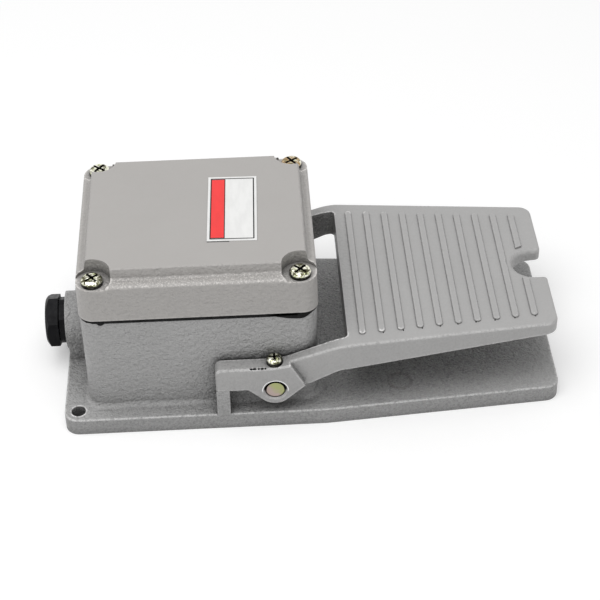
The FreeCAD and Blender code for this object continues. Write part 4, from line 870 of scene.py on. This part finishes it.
def dress_castings():
    """Grey enamel on the housing, the cover and the pedal."""
    dress(cast_enamel("housing_enamel", 0.41, 0.012, grain=2.0, smooth_top=1.0, smooth_from=0.0, mottle=0.8,
                      shade_and_grit=0.9, painted_glints=0.08, upright_corner_shade=1.0, wear_and_highlight=("Z", 10 * MM, 14 * MM, 1.0, 0.10)),
          "base_housing")
    dress(cast_enamel("cover_enamel", 0.41, 0.07, grain=1.2, smooth_top=0.08, smooth_from=85 * MM, mottle=0.3,
                      shade_and_grit=0.5, painted_glints=0.42, upright_corner_shade=0.5, wear_and_highlight=("Z", 83 * MM, 84.5 * MM, 0.55, 0.04)),
          "cover")
    dress(cast_enamel("pedal_enamel", 0.40, 0.02, grain=0.7, smooth_top=0.4, smooth_from=0.0, mottle=0.5,
                      shade_and_grit=0.9, painted_glints=0.0, upright_corner_shade=0.3, wear_and_highlight=("Y", 44 * MM, 47 * MM, 0.08, 0.85),
                      bore="pivot_shaft"),
          "pedal")


def dress_metal():
    """Yellow zinc on the screws outside, a two-tint shaft, and white zinc, bronze and brass inside."""
    # On the yellow zinc the strong pale and deep patches are painted reflections, and the dark rim is painted
    # shade round the heads.
    dress(zinc_plate("yellow_zinc", pale=(0.95, 0.94, 0.80, 1), deep=(0.10, 0.095, 0.05, 1),
                     tint=(0.62, 0.66, 0.40, 1), roughness=0.16, spots=1.7 * MM, shade_level=0.008,
                     dents=0.5 * MM, dark_rim=0.95, stained=0.7),
          "cover_screws", "clamp_screws")
    dress(passivated_end("shaft_plate", "pivot_shaft", left=(0.42, 0.34, 0.31, 1),
                         right=(0.36, 0.38, 0.18, 1), roughness=0.42),
          "pivot_shaft")
    dress(zinc_plate("white_zinc", pale=(0.62, 0.62, 0.60, 1), deep=(0.50, 0.50, 0.49, 1),
                     tint=(0.60, 0.60, 0.66, 1), roughness=0.35),
          "switch_bracket", "bracket_screws", "block_screws", "shaft_lever", "lever_screw", "bridge_nut",
          "terminal_screws")
    dress(zinc_plate("bronze", pale=(0.62, 0.42, 0.20, 1), deep=(0.50, 0.32, 0.14, 1),
                     tint=(0.66, 0.50, 0.30, 1), roughness=0.35),
          "near_shaft_bush", "far_shaft_bush")
    dress(zinc_plate("brass", pale=(0.78, 0.62, 0.30, 1), deep=(0.66, 0.50, 0.20, 1),
                     tint=(0.80, 0.70, 0.44, 1), roughness=0.28),
          "moving_bridge", "closed_contacts", "open_contacts", "earth_screw")
    make_spring_coil(zinc_plate("spring_wire", pale=(0.45, 0.45, 0.46, 1), deep=(0.34, 0.34, 0.36, 1),
                                tint=(0.5, 0.48, 0.44, 1), roughness=0.3))


def dress_plastic_and_rubber():
    """Plastic, seals and the label's foil. Gives back the gasket's rubber."""
    gasket_rubber = rubber("gasket_black", 0.008)
    dress(gasket_rubber, "cover_gasket")
    dress(rubber("seal_black", 0.015), "near_shaft_seal", "far_shaft_seal", "gland_seal")
    dress(moulded("gland_black", (0.005, 0.005, 0.006, 1), 0.35, gloss=0.06),
          "gland_body", "gland_nut", "gland_washer")
    dress(moulded("rod_plastic", (0.70, 0.68, 0.62, 1), 0.45), "push_rod")
    dress(moulded("block_plastic", (0.045, 0.045, 0.05, 1), 0.5), "contact_housing")
    dress(foil("label_white", (0.84, 0.84, 0.83, 1)), "label_plate")
    return gasket_rubber


bpy.context.scene.view_settings.view_transform = "Standard"
make_camera()
make_world()
make_lamp("top_softbox", TOP_LAMP_PLACE, VIEW_TARGET, TOP_LAMP_SIZE, TOP_LAMP_WATTS)
make_floor()
dress_castings()
dress_metal()
gasket_rubber = dress_plastic_and_rubber()
make_label_print()
for lip in LIPS:
    make_gasket_lip(*lip, gasket_rubber)
make_pin_mark(cast_enamel("mark_enamel", 0.34, 0.04, grain=0.5, smooth_top=1.0, smooth_from=0.0, mottle=0.8,
                          shade_and_grit=0.8, painted_glints=0.0, upright_corner_shade=1.0, wear_and_highlight=("Z", 0.0, 1.0, 0.0, 0.0)))
make_chips()
